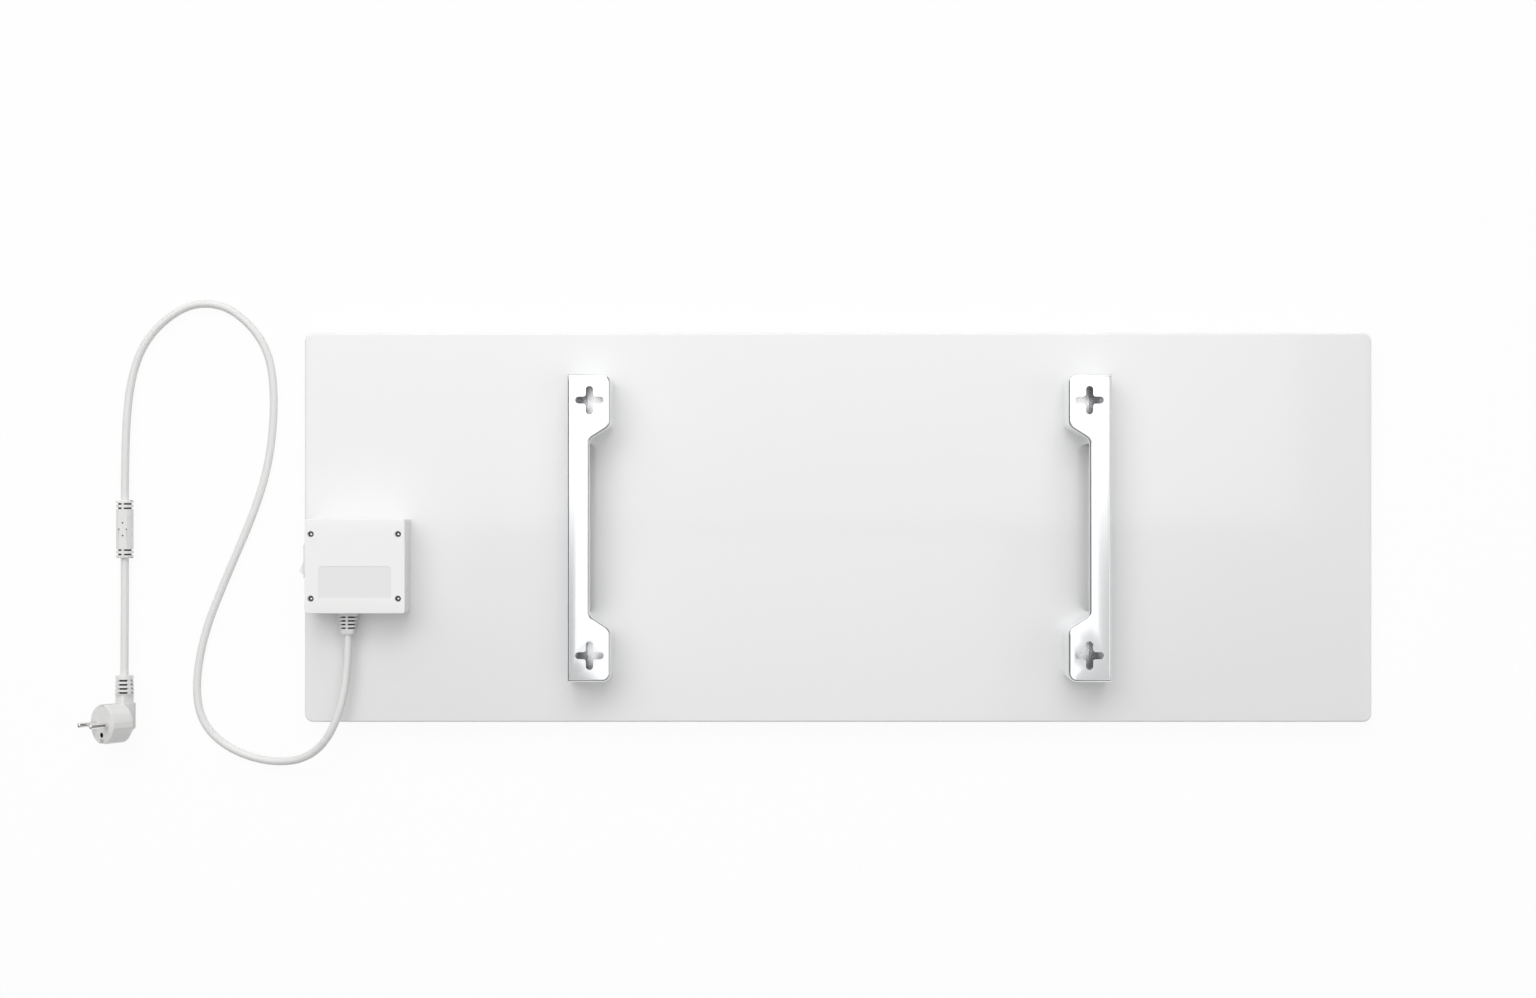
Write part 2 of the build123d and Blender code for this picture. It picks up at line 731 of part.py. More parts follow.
with BuildPart() as base_rivets:
    with BuildSketch(Plane.XY.offset(rear_under - rivet_head)):
        with Locations(*base_rivet_points):
            RegularPolygon(rivet_head_radius, lead_sides)
    extrude(amount=rivet_head)
    with BuildSketch(Plane.XY.offset(rear_under)):
        with Locations(*base_rivet_points):
            RegularPolygon(rivet_radius, lead_sides)
    extrude(amount=rear_sheet + base_plate)
    with BuildSketch(Plane.XY.offset(plate_top)):
        with Locations(*base_rivet_points):
            RegularPolygon(rivet_head_radius, lead_sides)
    extrude(amount=rivet_head)
base_rivets.part.label = "base_rivets"
export_step(base_rivets.part, "parts/base_rivets.step")

with BuildPart() as terminal_box_cover:
    with BuildSketch(Plane.XY.offset(panel_depth)):
        with Locations((box_x, box_y)):
            RectangleRounded(box_width, box_height, box_corner)
    extrude(amount=box_depth)
    chamfer(terminal_box_cover.faces().sort_by(Axis.Z)[-1].edges(), box_edge)
    with BuildSketch(Plane.XY.offset(panel_depth)):
        with Locations((box_x, box_y)):
            Rectangle(box_width - 2 * box_wall, box_height - 2 * box_wall)
    extrude(amount=box_depth - box_wall, mode=Mode.SUBTRACT)
    # screw columns built out from the end walls, their recesses and clearance holes
    with BuildSketch(Plane.XY.offset(boss_top)):
        with Locations((box_left + box_wall / 2, screw_y)):
            with GridLocations(0, screw_span_y, 1, 2):
                Rectangle(
                    screw_inset_x + column_width / 2 - box_wall / 2, column_width,
                    align=(Align.MIN, Align.CENTER),
                )
        with Locations((box_left + box_width - box_wall / 2, screw_y)):
            with GridLocations(0, screw_span_y, 1, 2):
                Rectangle(
                    right_inset_x + column_width / 2 - box_wall / 2, column_width,
                    align=(Align.MAX, Align.CENTER),
                )
    extrude(amount=box_top - box_wall - boss_top)
    with BuildSketch(Plane.XY.offset(recess_floor)):
        with Locations((screw_x, screw_y)):
            with GridLocations(screw_span_x, screw_span_y, 2, 2):
                RegularPolygon(screw_recess_radius, 2 * round_sides)
    extrude(amount=screw_recess, mode=Mode.SUBTRACT)
    with BuildSketch(Plane.XY.offset(boss_top)):
        with Locations((screw_x, screw_y)):
            with GridLocations(screw_span_x, screw_span_y, 2, 2):
                RegularPolygon(screw_radius + fit, lead_sides)
    extrude(amount=recess_floor - boss_top, mode=Mode.SUBTRACT)
    # shallow field for a rating plate, with rounded upper corners
    with BuildSketch(Plane.XY.offset(box_top - label_recess_depth)) as field:
        with Locations((box_left + label_recess_inset[0], box_bottom + label_recess_inset[1])):
            Rectangle(label_recess[0], label_recess[1], align=(Align.MIN, Align.MIN))
        fillet(field.vertices().group_by(Axis.Y)[-1], label_recess_radius)
    extrude(amount=label_recess_depth, mode=Mode.SUBTRACT)
    # opening for the switch in the end wall
    with BuildSketch(Plane.YZ.offset(box_left)):
        with Locations((switch_y, switch_z)):
            Rectangle(well[0] + 2 * (housing_wall + touch), well[1] + 2 * (housing_wall + touch))
    extrude(amount=box_wall, mode=Mode.SUBTRACT)
    # notch for the strain relief in the lower wall
    with BuildSketch(Plane.XZ.offset(-box_inside_bottom)):
        with Locations((cord_x, cord_z)):
            RegularPolygon(relief_neck_radius + fit, round_sides)
            Rectangle(
                2 * (relief_neck_radius + fit), cord_exit_height,
                align=(Align.CENTER, Align.MAX),
            )
    extrude(amount=box_wall, mode=Mode.SUBTRACT)
terminal_box_cover.part.label = "terminal_box_cover"
export_step(terminal_box_cover.part, "parts/terminal_box_cover.step")

with BuildPart() as cover_screws:
    with BuildSketch(Plane.XY.offset(boss_top - screw_bite)):
        with Locations((screw_x, screw_y)):
            with GridLocations(screw_span_x, screw_span_y, 2, 2):
                RegularPolygon(screw_radius, lead_sides)
    extrude(amount=recess_floor - boss_top + screw_bite)
    with BuildSketch(Plane.XY.offset(recess_floor)):
        with Locations((screw_x, screw_y)):
            with GridLocations(screw_span_x, screw_span_y, 2, 2):
                RegularPolygon(screw_head_radius, 2 * round_sides)
    extrude(amount=screw_head)
    with BuildSketch(Plane.XY.offset(recess_floor + screw_head - drive_depth)):
        with Locations((screw_x, screw_y)):
            with GridLocations(screw_span_x, screw_span_y, 2, 2):
                RegularPolygon(drive_radius, 6)
    extrude(amount=drive_depth, mode=Mode.SUBTRACT)
cover_screws.part.label = "cover_screws"
export_step(cover_screws.part, "parts/cover_screws.step")

with BuildPart() as lead_grommet:
    with BuildSketch(Plane.XY.offset(rear_under - grommet_flange)):
        with Locations((grommet_x, grommet_y)):
            RegularPolygon(grommet_flange_radius, round_sides)
    extrude(amount=grommet_flange)
    with BuildSketch(Plane.XY.offset(rear_under)):
        with Locations((grommet_x, grommet_y)):
            RegularPolygon(grommet_neck_radius, round_sides)
    extrude(amount=plate_top - rear_under)
    with BuildSketch(Plane.XY.offset(plate_top)):
        with Locations((grommet_x, grommet_y)):
            RegularPolygon(grommet_flange_radius, round_sides)
    extrude(amount=grommet_flange)
    with BuildSketch(Plane.XY.offset(rear_under - grommet_flange)):
        with Locations((grommet_x, grommet_y)):
            RegularPolygon(grommet_bore_radius, round_sides)
    extrude(amount=plate_top - rear_under + 2 * grommet_flange, mode=Mode.SUBTRACT)
lead_grommet.part.label = "lead_grommet"
export_step(lead_grommet.part, "parts/lead_grommet.step")

with BuildPart() as terminal_block:
    with BuildSketch(Plane.XY.offset(plate_top)):
        with Locations((block_x, block_y)):
            Rectangle(block_size[0], block_size[1])
    extrude(amount=block_size[2])
    with BuildSketch(Plane.XY.offset(plate_top + block_size[2] - block_screw_depth)):
        with Locations((block_x, block_y)):
            with GridLocations(block_size[0] - 2 * block_screw_inset, block_pitch, 2, 3):
                RegularPolygon(block_screw_radius + touch, round_sides)
    extrude(amount=block_screw_depth, mode=Mode.SUBTRACT)
    with BuildSketch(Plane.YZ.offset(block_left)):
        with Locations(*[(y, port_z) for y in port_ys]):
            Rectangle(2 * port_radius, 2 * port_radius)
    extrude(amount=port_depth, mode=Mode.SUBTRACT)
    with BuildSketch(Plane.YZ.offset(right_port_end)):
        with Locations(*[(y, port_z) for y in port_ys]):
            Rectangle(2 * port_radius, 2 * port_radius)
    extrude(amount=port_depth, mode=Mode.SUBTRACT)
    # grooves between the poles
    with BuildSketch(Plane.XY.offset(plate_top + block_size[2] - block_groove[1])):
        with Locations((block_x, block_y)):
            with GridLocations(0, block_pitch, 1, 2):
                Rectangle(block_size[0], block_groove[0])
    extrude(amount=block_groove[1], mode=Mode.SUBTRACT)
terminal_block.part.label = "terminal_block"
export_step(terminal_block.part, "parts/terminal_block.step")

with BuildPart() as terminal_screws:
    with BuildSketch(Plane.XY.offset(plate_top + block_size[2] - block_screw_depth)):
        with Locations((block_x, block_y)):
            with GridLocations(block_size[0] - 2 * block_screw_inset, block_pitch, 2, 3):
                RegularPolygon(block_screw_radius, round_sides)
    extrude(amount=block_screw_length)
terminal_screws.part.label = "terminal_screws"
export_step(terminal_screws.part, "parts/terminal_screws.step")

# earth stud welded to the rear sheet, with its nuts, lug and lead
lug_bottom = plate_top + nut_height + washer_height
with BuildPart() as earth_stud:
    with BuildSketch(Plane.XY.offset(rear_under - stud_head)):
        with Locations((stud_x, stud_y)):
            RegularPolygon(stud_head_radius, round_sides)
    extrude(amount=stud_head)
    with BuildSketch(Plane.XY.offset(rear_under)):
        with Locations((stud_x, stud_y)):
            RegularPolygon(stud_radius, round_sides)
    extrude(amount=plate_top - rear_under + stud_length)
earth_stud.part.label = "earth_stud"
export_step(earth_stud.part, "parts/earth_stud.step")

with BuildPart() as earth_nuts:
    with BuildSketch(Plane.XY.offset(plate_top)):
        with Locations((stud_x, stud_y)):
            RegularPolygon(nut_flats / 2, 6, major_radius=False)
            RegularPolygon(stud_radius + fit, round_sides, mode=Mode.SUBTRACT)
    extrude(amount=nut_height)
    with BuildSketch(Plane.XY.offset(plate_top + nut_height)):
        with Locations((stud_x, stud_y)):
            RegularPolygon(lug_radius, round_sides)
            RegularPolygon(stud_radius + fit, round_sides, mode=Mode.SUBTRACT)
    extrude(amount=washer_height)
    with BuildSketch(Plane.XY.offset(lug_bottom + lug_plate)):
        with Locations((stud_x, stud_y)):
            RegularPolygon(nut_flats / 2, 6, major_radius=False)
            RegularPolygon(stud_radius + fit, round_sides, mode=Mode.SUBTRACT)
    extrude(amount=nut_height)
earth_nuts.part.label = "earth_nuts"
export_step(earth_nuts.part, "parts/earth_nuts.step")

lug_end_y = stud_y + lug_radius + lug_barrel_length
with BuildPart() as earth_lug:
    with BuildSketch(Plane.XY.offset(lug_bottom)):
        with Locations((stud_x, stud_y)):
            RegularPolygon(lug_radius, round_sides)
        with Locations((stud_x, lug_end_y)):
            Rectangle(lug_barrel_radius, lug_barrel_length + 1, align=(Align.CENTER, Align.MAX))
        with Locations((stud_x, stud_y)):
            RegularPolygon(stud_radius + fit, round_sides, mode=Mode.SUBTRACT)
    extrude(amount=lug_plate)
    with BuildSketch(Plane.XZ.offset(-lug_end_y)):
        with Locations((stud_x, port_z)):
            RegularPolygon(lug_barrel_radius, round_sides)
    extrude(amount=lug_barrel_length)
earth_lug.part.label = "earth_lug"
export_step(earth_lug.part, "parts/earth_lug.step")

earth_route = [
    (right_port_end, port_ys[0], port_z), (stud_x, port_ys[0], port_z), (stud_x, lug_end_y, port_z),
]
with BuildPart() as earth_lead:
    add(lead_part(earth_route, lead_radius))
earth_lead.part.label = "earth_lead"
export_step(earth_lead.part, "parts/earth_lead.step")

# ---------------------------------------------------------------- rocker switch

with BuildPart() as switch_housing:
    wall_b = pivot_depth - bezel_thickness
    with BuildSketch(Plane.YZ.offset(pivot_x - pivot_depth)):
        with Locations((switch_y, switch_z)):
            Rectangle(bezel[0], bezel[1])
    extrude(amount=bezel_thickness)
    chamfer(switch_housing.faces().sort_by(Axis.X)[0].edges(), bezel_edge)
    with BuildSketch(Plane.YZ.offset(pivot_x - wall_b)):
        with Locations((switch_y, switch_z)):
            Rectangle(well[0] + 2 * housing_wall, well[1] + 2 * housing_wall)
    extrude(amount=wall_b + housing_depth)
    with BuildSketch(Plane.YZ.offset(pivot_x - pivot_depth)):
        with Locations((switch_y, switch_z)):
            Rectangle(well[0], well[1])
    extrude(amount=pivot_depth + housing_bottom, mode=Mode.SUBTRACT)
    # stop rib under the idle end of the contact levers
    stop_top = lever_pivot_depth - lever_crown + lever_thickness + contact_height + running
    with BuildSketch(Plane.YZ.offset(pivot_x + stop_top)):
        with Locations((switch_y - contact_offset, switch_z)):
            Rectangle(stop_rib, well[1])
    extrude(amount=housing_bottom - stop_top)
    # pivot holes and slots for the terminals
    with BuildSketch(switch_plane.offset(-well[1])):
        Circle(trunnion_radius + fit)
    extrude(amount=2 * well[1], mode=Mode.SUBTRACT)
    with BuildSketch(Plane.YZ.offset(pivot_x + housing_bottom)):
        for pole in pole_offsets:
            with Locations((common_y, switch_z + pole), (output_y, switch_z + pole)):
                Rectangle(terminal_thickness + 2 * fit, terminal_width + 2 * fit)
    extrude(amount=housing_floor, mode=Mode.SUBTRACT)
    # snaps that hold the housing behind the cover's wall
    for side in (-1, 1):
        edge = side * (well[0] / 2 + housing_wall)
        snap_start = box_wall + touch - wall_b
        with BuildSketch(switch_plane.offset(-snap_width / 2)):
            with BuildLine():
                Polyline(
                    (edge, -snap_start), (edge + side * snap_height, -snap_start),
                    (edge, -snap_start - snap_length), close=True,
                )
            make_face()
        extrude(amount=snap_width)
switch_housing.part.label = "switch_housing"
export_step(switch_housing.part, "parts/switch_housing.step")

# The rocker is drawn level in its own plane, which is turned to the stored position.
rocker_plane = switch_plane.rotated((0, 0, -rocker_angle))
crown = pivot_depth / cos(radians(rocker_angle))
rise = tan(radians(rocker_angle))
tip_a = ((rocker_radius ** 2 * (1 + rise ** 2) - crown ** 2) ** 0.5 - rise * crown) / (1 + rise ** 2)
tip_b = crown + rise * tip_a
tip_angle = degrees(atan2(tip_b, tip_a))
skirt_a = rocker_radius * cos(radians(rocker_skirt_angle))
skirt_b = -rocker_radius * sin(radians(rocker_skirt_angle))
inner_a = skirt_a - rocker_skirt_wall

with BuildPart() as switch_rocker:
    with BuildSketch(rocker_plane.offset(-rocker_width / 2)):
        with BuildLine():
            Line((-tip_a, tip_b), (0, crown))
            Line((0, crown), (tip_a, tip_b))
            CenterArc((0, 0), rocker_radius, -rocker_skirt_angle, tip_angle + rocker_skirt_angle)
            Polyline(
                (skirt_a, skirt_b), (inner_a, skirt_b),
                (inner_a - rocker_skirt_wall, crown + rise * inner_a - 2 * rocker_skin),
                (hub_half, crown + rise * hub_half - rocker_skin),
                (hub_half, -hub_depth), (-hub_half, -hub_depth),
                (-hub_half, crown + rise * hub_half - rocker_skin),
                (rocker_skirt_wall - inner_a, crown + rise * inner_a - 2 * rocker_skin),
                (-inner_a, skirt_b), (-skirt_a, skirt_b),
            )
            CenterArc((0, 0), rocker_radius, 180 - tip_angle, tip_angle + rocker_skirt_angle)
        make_face()
    extrude(amount=rocker_width)
    # end walls close the hollow underside
    for face in (-rocker_width / 2, rocker_width / 2 - rocker_skirt_wall):
        with BuildSketch(rocker_plane.offset(face)):
            with BuildLine():
                Line((-tip_a, tip_b), (0, crown))
                Line((0, crown), (tip_a, tip_b))
                CenterArc((0, 0), rocker_radius, -rocker_skirt_angle, tip_angle + rocker_skirt_angle)
                Line((skirt_a, skirt_b), (-skirt_a, skirt_b))
                CenterArc((0, 0), rocker_radius, 180 - tip_angle, tip_angle + rocker_skirt_angle)
            make_face()
        extrude(amount=rocker_skirt_wall)
    # trunnions
    for face, way in ((rocker_width / 2, 1), (-rocker_width / 2, -1)):
        with BuildSketch(rocker_plane.offset(face)):
            Circle(trunnion_radius)
        extrude(amount=way * trunnion_length)
    # guide tubes for the spring plungers
    for pole in pole_offsets:
        guide_plane = Plane(
            origin=rocker_plane.from_local_coords((0, -guide_depth, pole)),
            z_dir=rocker_plane.y_dir,
        )
        with BuildSketch(guide_plane):
            RegularPolygon(guide_radius, round_sides)
        extrude(amount=guide_depth - hub_depth / 2)
        with BuildSketch(guide_plane):
            RegularPolygon(plunger_radius + fit, round_sides)
        extrude(amount=guide_depth + guide_top, mode=Mode.SUBTRACT)
switch_rocker.part.label = "switch_rocker"
export_step(switch_rocker.part, "parts/switch_rocker.step")

with BuildPart() as switch_plungers:
    for pole in pole_offsets:
        tip_plane = Plane(
            origin=rocker_plane.from_local_coords((0, -plunger_reach, pole)),
            z_dir=rocker_plane.y_dir,
        )
        with BuildSketch(tip_plane):
            RegularPolygon(plunger_tip_radius, round_sides)
        extrude(amount=plunger_reach - plunger_shoulder)
        with BuildSketch(tip_plane.offset(plunger_reach - plunger_shoulder)):
            RegularPolygon(plunger_radius, round_sides)
        extrude(amount=plunger_shoulder - plunger_top)
switch_plungers.part.label = "switch_plungers"
export_step(switch_plungers.part, "parts/switch_plungers.step")

with BuildPart() as plunger_springs:
    for pole in pole_offsets:
        spring_plane = Plane(
            origin=rocker_plane.from_local_coords((0, -plunger_top, pole)),
            z_dir=rocker_plane.y_dir,
        )
        with BuildSketch(spring_plane):
            RegularPolygon(spring_radius, round_sides)
            RegularPolygon(spring_bore, round_sides, mode=Mode.SUBTRACT)
        extrude(amount=plunger_top + guide_top)
plunger_springs.part.label = "plunger_springs"
export_step(plunger_springs.part, "parts/plunger_springs.step")

lever_pivot = switch_plane.from_local_coords((0, -lever_pivot_depth, 0))
lever_plane = Plane(
    origin=lever_pivot, x_dir=switch_plane.x_dir, z_dir=switch_plane.z_dir,
).rotated((0, 0, lever_angle))
lever_rise = tan(radians(lever_angle))
with BuildPart() as contact_levers:
    for pole in pole_offsets:
        with BuildSketch(lever_plane.offset(pole - lever_width / 2)):
            with BuildLine():
                Polyline(
                    (0, lever_crown), (lever_half, lever_crown + lever_half * lever_rise),
                    (lever_half, lever_crown + lever_half * lever_rise - lever_thickness),
                    (0, lever_crown - lever_thickness),
                    (-lever_half, lever_crown + lever_half * lever_rise - lever_thickness),
                    (-lever_half, lever_crown + lever_half * lever_rise), close=True,
                )
            make_face()
        extrude(amount=lever_width)
        for side in (-1, 1):
            arm = lever_plane.rotated((0, 0, side * lever_angle))
            button_plane = Plane(
                origin=arm.from_local_coords(
                    (side * contact_offset, lever_crown - lever_thickness, pole)
                ),
                z_dir=-arm.y_dir,
            )
            with BuildSketch(button_plane.offset(-lever_thickness / 2)):
                RegularPolygon(contact_radius, round_sides)
            extrude(amount=contact_height + lever_thickness / 2)
contact_levers.part.label = "contact_levers"
export_step(contact_levers.part, "parts/contact_levers.step")

saddle_b = lever_pivot_depth - lever_crown + lever_thickness + running
with BuildPart() as switch_terminals:
    for pole in pole_offsets:
        # common terminal with a forked saddle for the lever
        with BuildSketch(Plane.YZ.offset(pivot_x + saddle_b - saddle_ear)):
            with Locations((common_y, switch_z + pole)):
                Rectangle(terminal_thickness, terminal_width)
        extrude(amount=terminal_reach - saddle_b + saddle_ear)
        with BuildSketch(Plane.YZ.offset(pivot_x + saddle_b - saddle_ear)):
            with Locations((common_y, switch_z + pole)):
                Rectangle(2 * terminal_thickness, lever_width + 2 * running)
        extrude(amount=saddle_ear, mode=Mode.SUBTRACT)
        # output terminal with its contact shelf
        with BuildSketch(Plane.YZ.offset(pivot_x + stop_top)):
            with Locations((output_y, switch_z + pole)):
                Rectangle(2 * contact_radius, lever_width)
        extrude(amount=terminal_thickness)
        with BuildSketch(Plane.YZ.offset(pivot_x + stop_top + terminal_thickness)):
            with Locations((output_y, switch_z + pole)):
                Rectangle(terminal_thickness, terminal_width)
        extrude(amount=terminal_reach - stop_top - terminal_thickness)
switch_terminals.part.label = "switch_terminals"
export_step(switch_terminals.part, "parts/switch_terminals.step")

# leads from the switch's outputs to the terminal block
lead_run = tab_end_x + lead_start
live_out = [
    (tab_end_x, output_y, live_z), (lead_run, output_y, live_z),
    (block_left - lead_start, port_ys[2], port_z), (left_port_end, port_ys[2], port_z),
]
neutral_out = [
    (tab_end_x, output_y, neutral_z), (lead_run, output_y, neutral_z),
    (block_left - lead_start, port_ys[1], port_z), (left_port_end, port_ys[1], port_z),
]
with BuildPart() as switch_leads:
    add(lead_part(live_out, lead_radius))
    add(lead_part(neutral_out, lead_radius))
switch_leads.part.label = "switch_leads"
export_step(switch_leads.part, "parts/switch_leads.step")

# ---------------------------------------------------------------- cord entry

with BuildPart() as cord_inlet:
    with BuildSketch(Plane.XZ.offset(-cord_cut_y)):
        with Locations((cord_x, cord_z)):
            RegularPolygon(cord_radius, cord_sides)
    extrude(amount=cord_cut_y - cord_exit_y)
cord_inlet.part.label = "cord_inlet"
export_step(cord_inlet.part, "parts/cord_inlet.step")

tab_face_y = common_y - terminal_thickness / 2
tab_middle_x = tab_end_x - core_tab_inset
core_turn_y = cord_cut_y + core_start
core_rise_y = cord_cut_y + core_rise
(live_dx, live_dz), (neutral_dx, neutral_dz), (earth_dx, earth_dz) = core_places
live_core = [
    (cord_x + live_dx, cord_cut_y, cord_z + live_dz), (cord_x + live_dx, core_turn_y, cord_z + live_dz),
    (tab_middle_x, core_rise_y, live_z), (tab_middle_x, tab_face_y, live_z),
]
neutral_core = [
    (cord_x + neutral_dx, cord_cut_y, cord_z + neutral_dz),
    (cord_x + neutral_dx, core_turn_y, cord_z + neutral_dz),
    (tab_middle_x, core_rise_y, neutral_z), (tab_middle_x, tab_face_y, neutral_z),
]
earth_core = [
    (cord_x + earth_dx, cord_cut_y, cord_z + earth_dz),
    (cord_x + earth_dx, core_turn_y, cord_z + earth_dz),
    (block_left - lead_start, port_ys[0], port_z), (left_port_end, port_ys[0], port_z),
]
with BuildPart() as cord_cores:
    for core in (live_core, neutral_core, earth_core):
        add(lead_part(core, core_radius))
cord_cores.part.label = "cord_cores"
export_step(cord_cores.part, "parts/cord_cores.step")

with BuildPart() as strain_relief:
    with BuildSketch(Plane.XZ.offset(-box_bottom)):
        with Locations((cord_x, cord_z)):
            relief_foot = Rectangle(relief_root[0], relief_root[1])
        chamfer(relief_foot.vertices(), relief_corner)
    with BuildSketch(Plane.XZ.offset(-cord_exit_y)):
        with Locations((cord_x, cord_z)):
            relief_tip = Rectangle(relief_end[0], relief_end[1])
        chamfer(relief_tip.vertices(), relief_corner)
    loft()
    # rows of slots around a core, bridged above and below by a spine
    for row in range(relief_rows):
        slot_y = box_bottom - relief_first - row * relief_pitch
        with BuildSketch(Plane.XZ.offset(-slot_y - relief_slot / 2)):
            with Locations((cord_x, cord_z)):
                Rectangle(2 * relief_root[0], 2 * relief_root[1])
                RegularPolygon(relief_core_radius, round_sides, mode=Mode.SUBTRACT)
                Rectangle(relief_spine, 2 * relief_root[1], mode=Mode.SUBTRACT)
        extrude(amount=relief_slot, mode=Mode.SUBTRACT)
    # neck through the wall and flange behind it
    with BuildSketch(Plane.XZ.offset(-box_inside_bottom - touch)):
        with Locations((cord_x, cord_z)):
            RegularPolygon(relief_neck_radius, round_sides)
    extrude(amount=box_wall + touch)
    with BuildSketch(Plane.XZ.offset(-box_inside_bottom - touch - relief_flange)):
        with Locations((cord_x, cord_z)):
            RegularPolygon(relief_flange_radius, round_sides)
    extrude(amount=relief_flange)
    with BuildSketch(Plane.XZ.offset(-cord_cut_y)):
        with Locations((cord_x, cord_z)):
            RegularPolygon(cord_radius + fit, cord_sides)
    extrude(amount=cord_cut_y - cord_exit_y, mode=Mode.SUBTRACT)
strain_relief.part.label = "strain_relief"
export_step(strain_relief.part, "parts/strain_relief.step")

with BuildPart() as cord_clamp:
    with BuildSketch(Plane.XY.offset(clamp_bottom)):
        with Locations((cord_x, clamp_y)):
            Rectangle(clamp_size[0], clamp_size[1])
            with GridLocations(clamp_screw_spacing, 0, 2, 1):
                RegularPolygon(screw_radius + fit, lead_sides, mode=Mode.SUBTRACT)
    extrude(amount=clamp_size[2])
    with BuildSketch(Plane.XZ.offset(-clamp_y - clamp_size[1])):
        with Locations((cord_x, cord_z)):
            RegularPolygon(cord_radius + fit, cord_sides)
    extrude(amount=2 * clamp_size[1], mode=Mode.SUBTRACT)
cord_clamp.part.label = "cord_clamp"
export_step(cord_clamp.part, "parts/cord_clamp.step")

with BuildPart() as clamp_screws:
    with BuildSketch(Plane.XY.offset(saddle_top - clamp_screw_bite)):
        with Locations((cord_x, clamp_y)):
            with GridLocations(clamp_screw_spacing, 0, 2, 1):
                RegularPolygon(screw_radius, lead_sides)
    extrude(amount=clamp_top - saddle_top + clamp_screw_bite)
    with BuildSketch(Plane.XY.offset(clamp_top)):
        with Locations((cord_x, clamp_y)):
            with GridLocations(clamp_screw_spacing, 0, 2, 1):
                RegularPolygon(screw_head_radius, round_sides)
    extrude(amount=screw_head)
    with BuildSketch(Plane.XY.offset(clamp_top + screw_head - drive_depth)):
        with Locations((cord_x, clamp_y)):
            with GridLocations(clamp_screw_spacing, 0, 2, 1):
                Rectangle(2 * screw_head_radius, drive_slot)
    extrude(amount=drive_depth, mode=Mode.SUBTRACT)
clamp_screws.part.label = "clamp_screws"
export_step(clamp_screws.part, "parts/clamp_screws.step")

# ---------------------------------------------------------------- free cord

# Over the panel's lower edge, down to the surface, once round to the left, up past the
# box's end, round again and down into the inline suppressor.
cord_points = [
    (cord_x, cord_exit_y, cord_z),
    (cord_x, cord_exit_y - cord_first_run, cord_z),
    (cord_x - cord_drift, -190, 33.5),
    *[(box_left + x, y, z) for x, y, z in cord_route],
    (inline_x, inline_top_y + cord_last_run, inline_axis_height),
    (inline_x, inline_top_y, inline_axis_height),
]
cord_bends = route_bends(cord_points)
with BuildPart() as power_cord:
    add(cord_part(cord_points, cord_bends))
power_cord.part.label = "power_cord"
export_step(power_cord.part, "parts/power_cord.step")

tail_length = inline_bottom_y - plug_cord_y
tail_points = [
    (inline_x, inline_bottom_y, inline_axis_height),
    (inline_x, inline_bottom_y - 0.3 * tail_length, inline_axis_height),
    (plug_axis_x, plug_cord_y + 0.3 * tail_length, plug_axis_height),
    (plug_axis_x, plug_cord_y, plug_axis_height),
]
tail_bends = route_bends(tail_points)
with BuildPart() as cord_tail:
    add(cord_part(tail_points, tail_bends))
cord_tail.part.label = "cord_tail"
export_step(cord_tail.part, "parts/cord_tail.step")

for name, cord, points, bends in (
    ("power_cord", power_cord.part, cord_points, cord_bends),
    ("cord_tail", cord_tail.part, tail_points, tail_bends),
):
    route = FilletPolyline(*points, radius=bends)
    print(name, "radii", [round(bend) for bend in bends])
    section = cord_sides / 2 * cord_radius ** 2 * sin(2 * pi / cord_sides)
    print(name, "length", round(route.length, 1))
    print(name, "volume", round(cord.volume), "section x length", round(section * route.length))

# ---------------------------------------------------------------- inline suppressor

inline_plane = Plane(
    origin=(inline_x, inline_y, inline_axis_height), x_dir=(1, 0, 0), z_dir=(0, -1, 0),
)
with BuildPart() as inline_housing:
    with BuildSketch(inline_plane.offset(-inline_size[1] / 2)):
        inline_outline = Rectangle(inline_size[0], inline_size[0])
        chamfer(inline_outline.vertices(), inline_corner)
    extrude(amount=inline_size[1])
    ends = inline_housing.faces().sort_by(Axis.Y)
    chamfer(ends[0].edges() + ends[-1].edges(), inline_edge)
    for way in (-1, 1):
        for place in inline_slot_places:
            middle = way * (inline_size[1] / 2 - place)
            with BuildSketch(inline_plane.offset(middle - inline_slot / 2)):
                Rectangle(2 * inline_size[0], 2 * inline_size[0])
                RegularPolygon(inline_core_radius, round_sides, mode=Mode.SUBTRACT)
                Rectangle(inline_spine, 2 * inline_size[0], mode=Mode.SUBTRACT)
            extrude(amount=inline_slot, mode=Mode.SUBTRACT)
    with BuildSketch(inline_plane.offset(-inline_size[1] / 2)):
        RegularPolygon(cord_radius + fit, cord_sides)
    extrude(amount=inline_size[1], mode=Mode.SUBTRACT)
    with BuildSketch(inline_plane.offset(-ferrite_length / 2)):
        RegularPolygon(ferrite_radius + fit, cord_sides)
    extrude(amount=ferrite_length, mode=Mode.SUBTRACT)
    # marks of the pins that held the core in the mould
    with BuildSketch(Plane.XY.offset(inline_axis_height + inline_size[0] / 2 - pin_mark_depth)):
        with Locations((inline_x, inline_y)):
            with Locations(
                (pin_mark_offset[0], 0), (-pin_mark_offset[0], 0),
                (0, pin_mark_offset[1]), (0, -pin_mark_offset[1]),
            ):
                RegularPolygon(pin_mark_radius, round_sides)
    extrude(amount=pin_mark_depth, mode=Mode.SUBTRACT)
inline_housing.part.label = "inline_housing"
export_step(inline_housing.part, "parts/inline_housing.step")

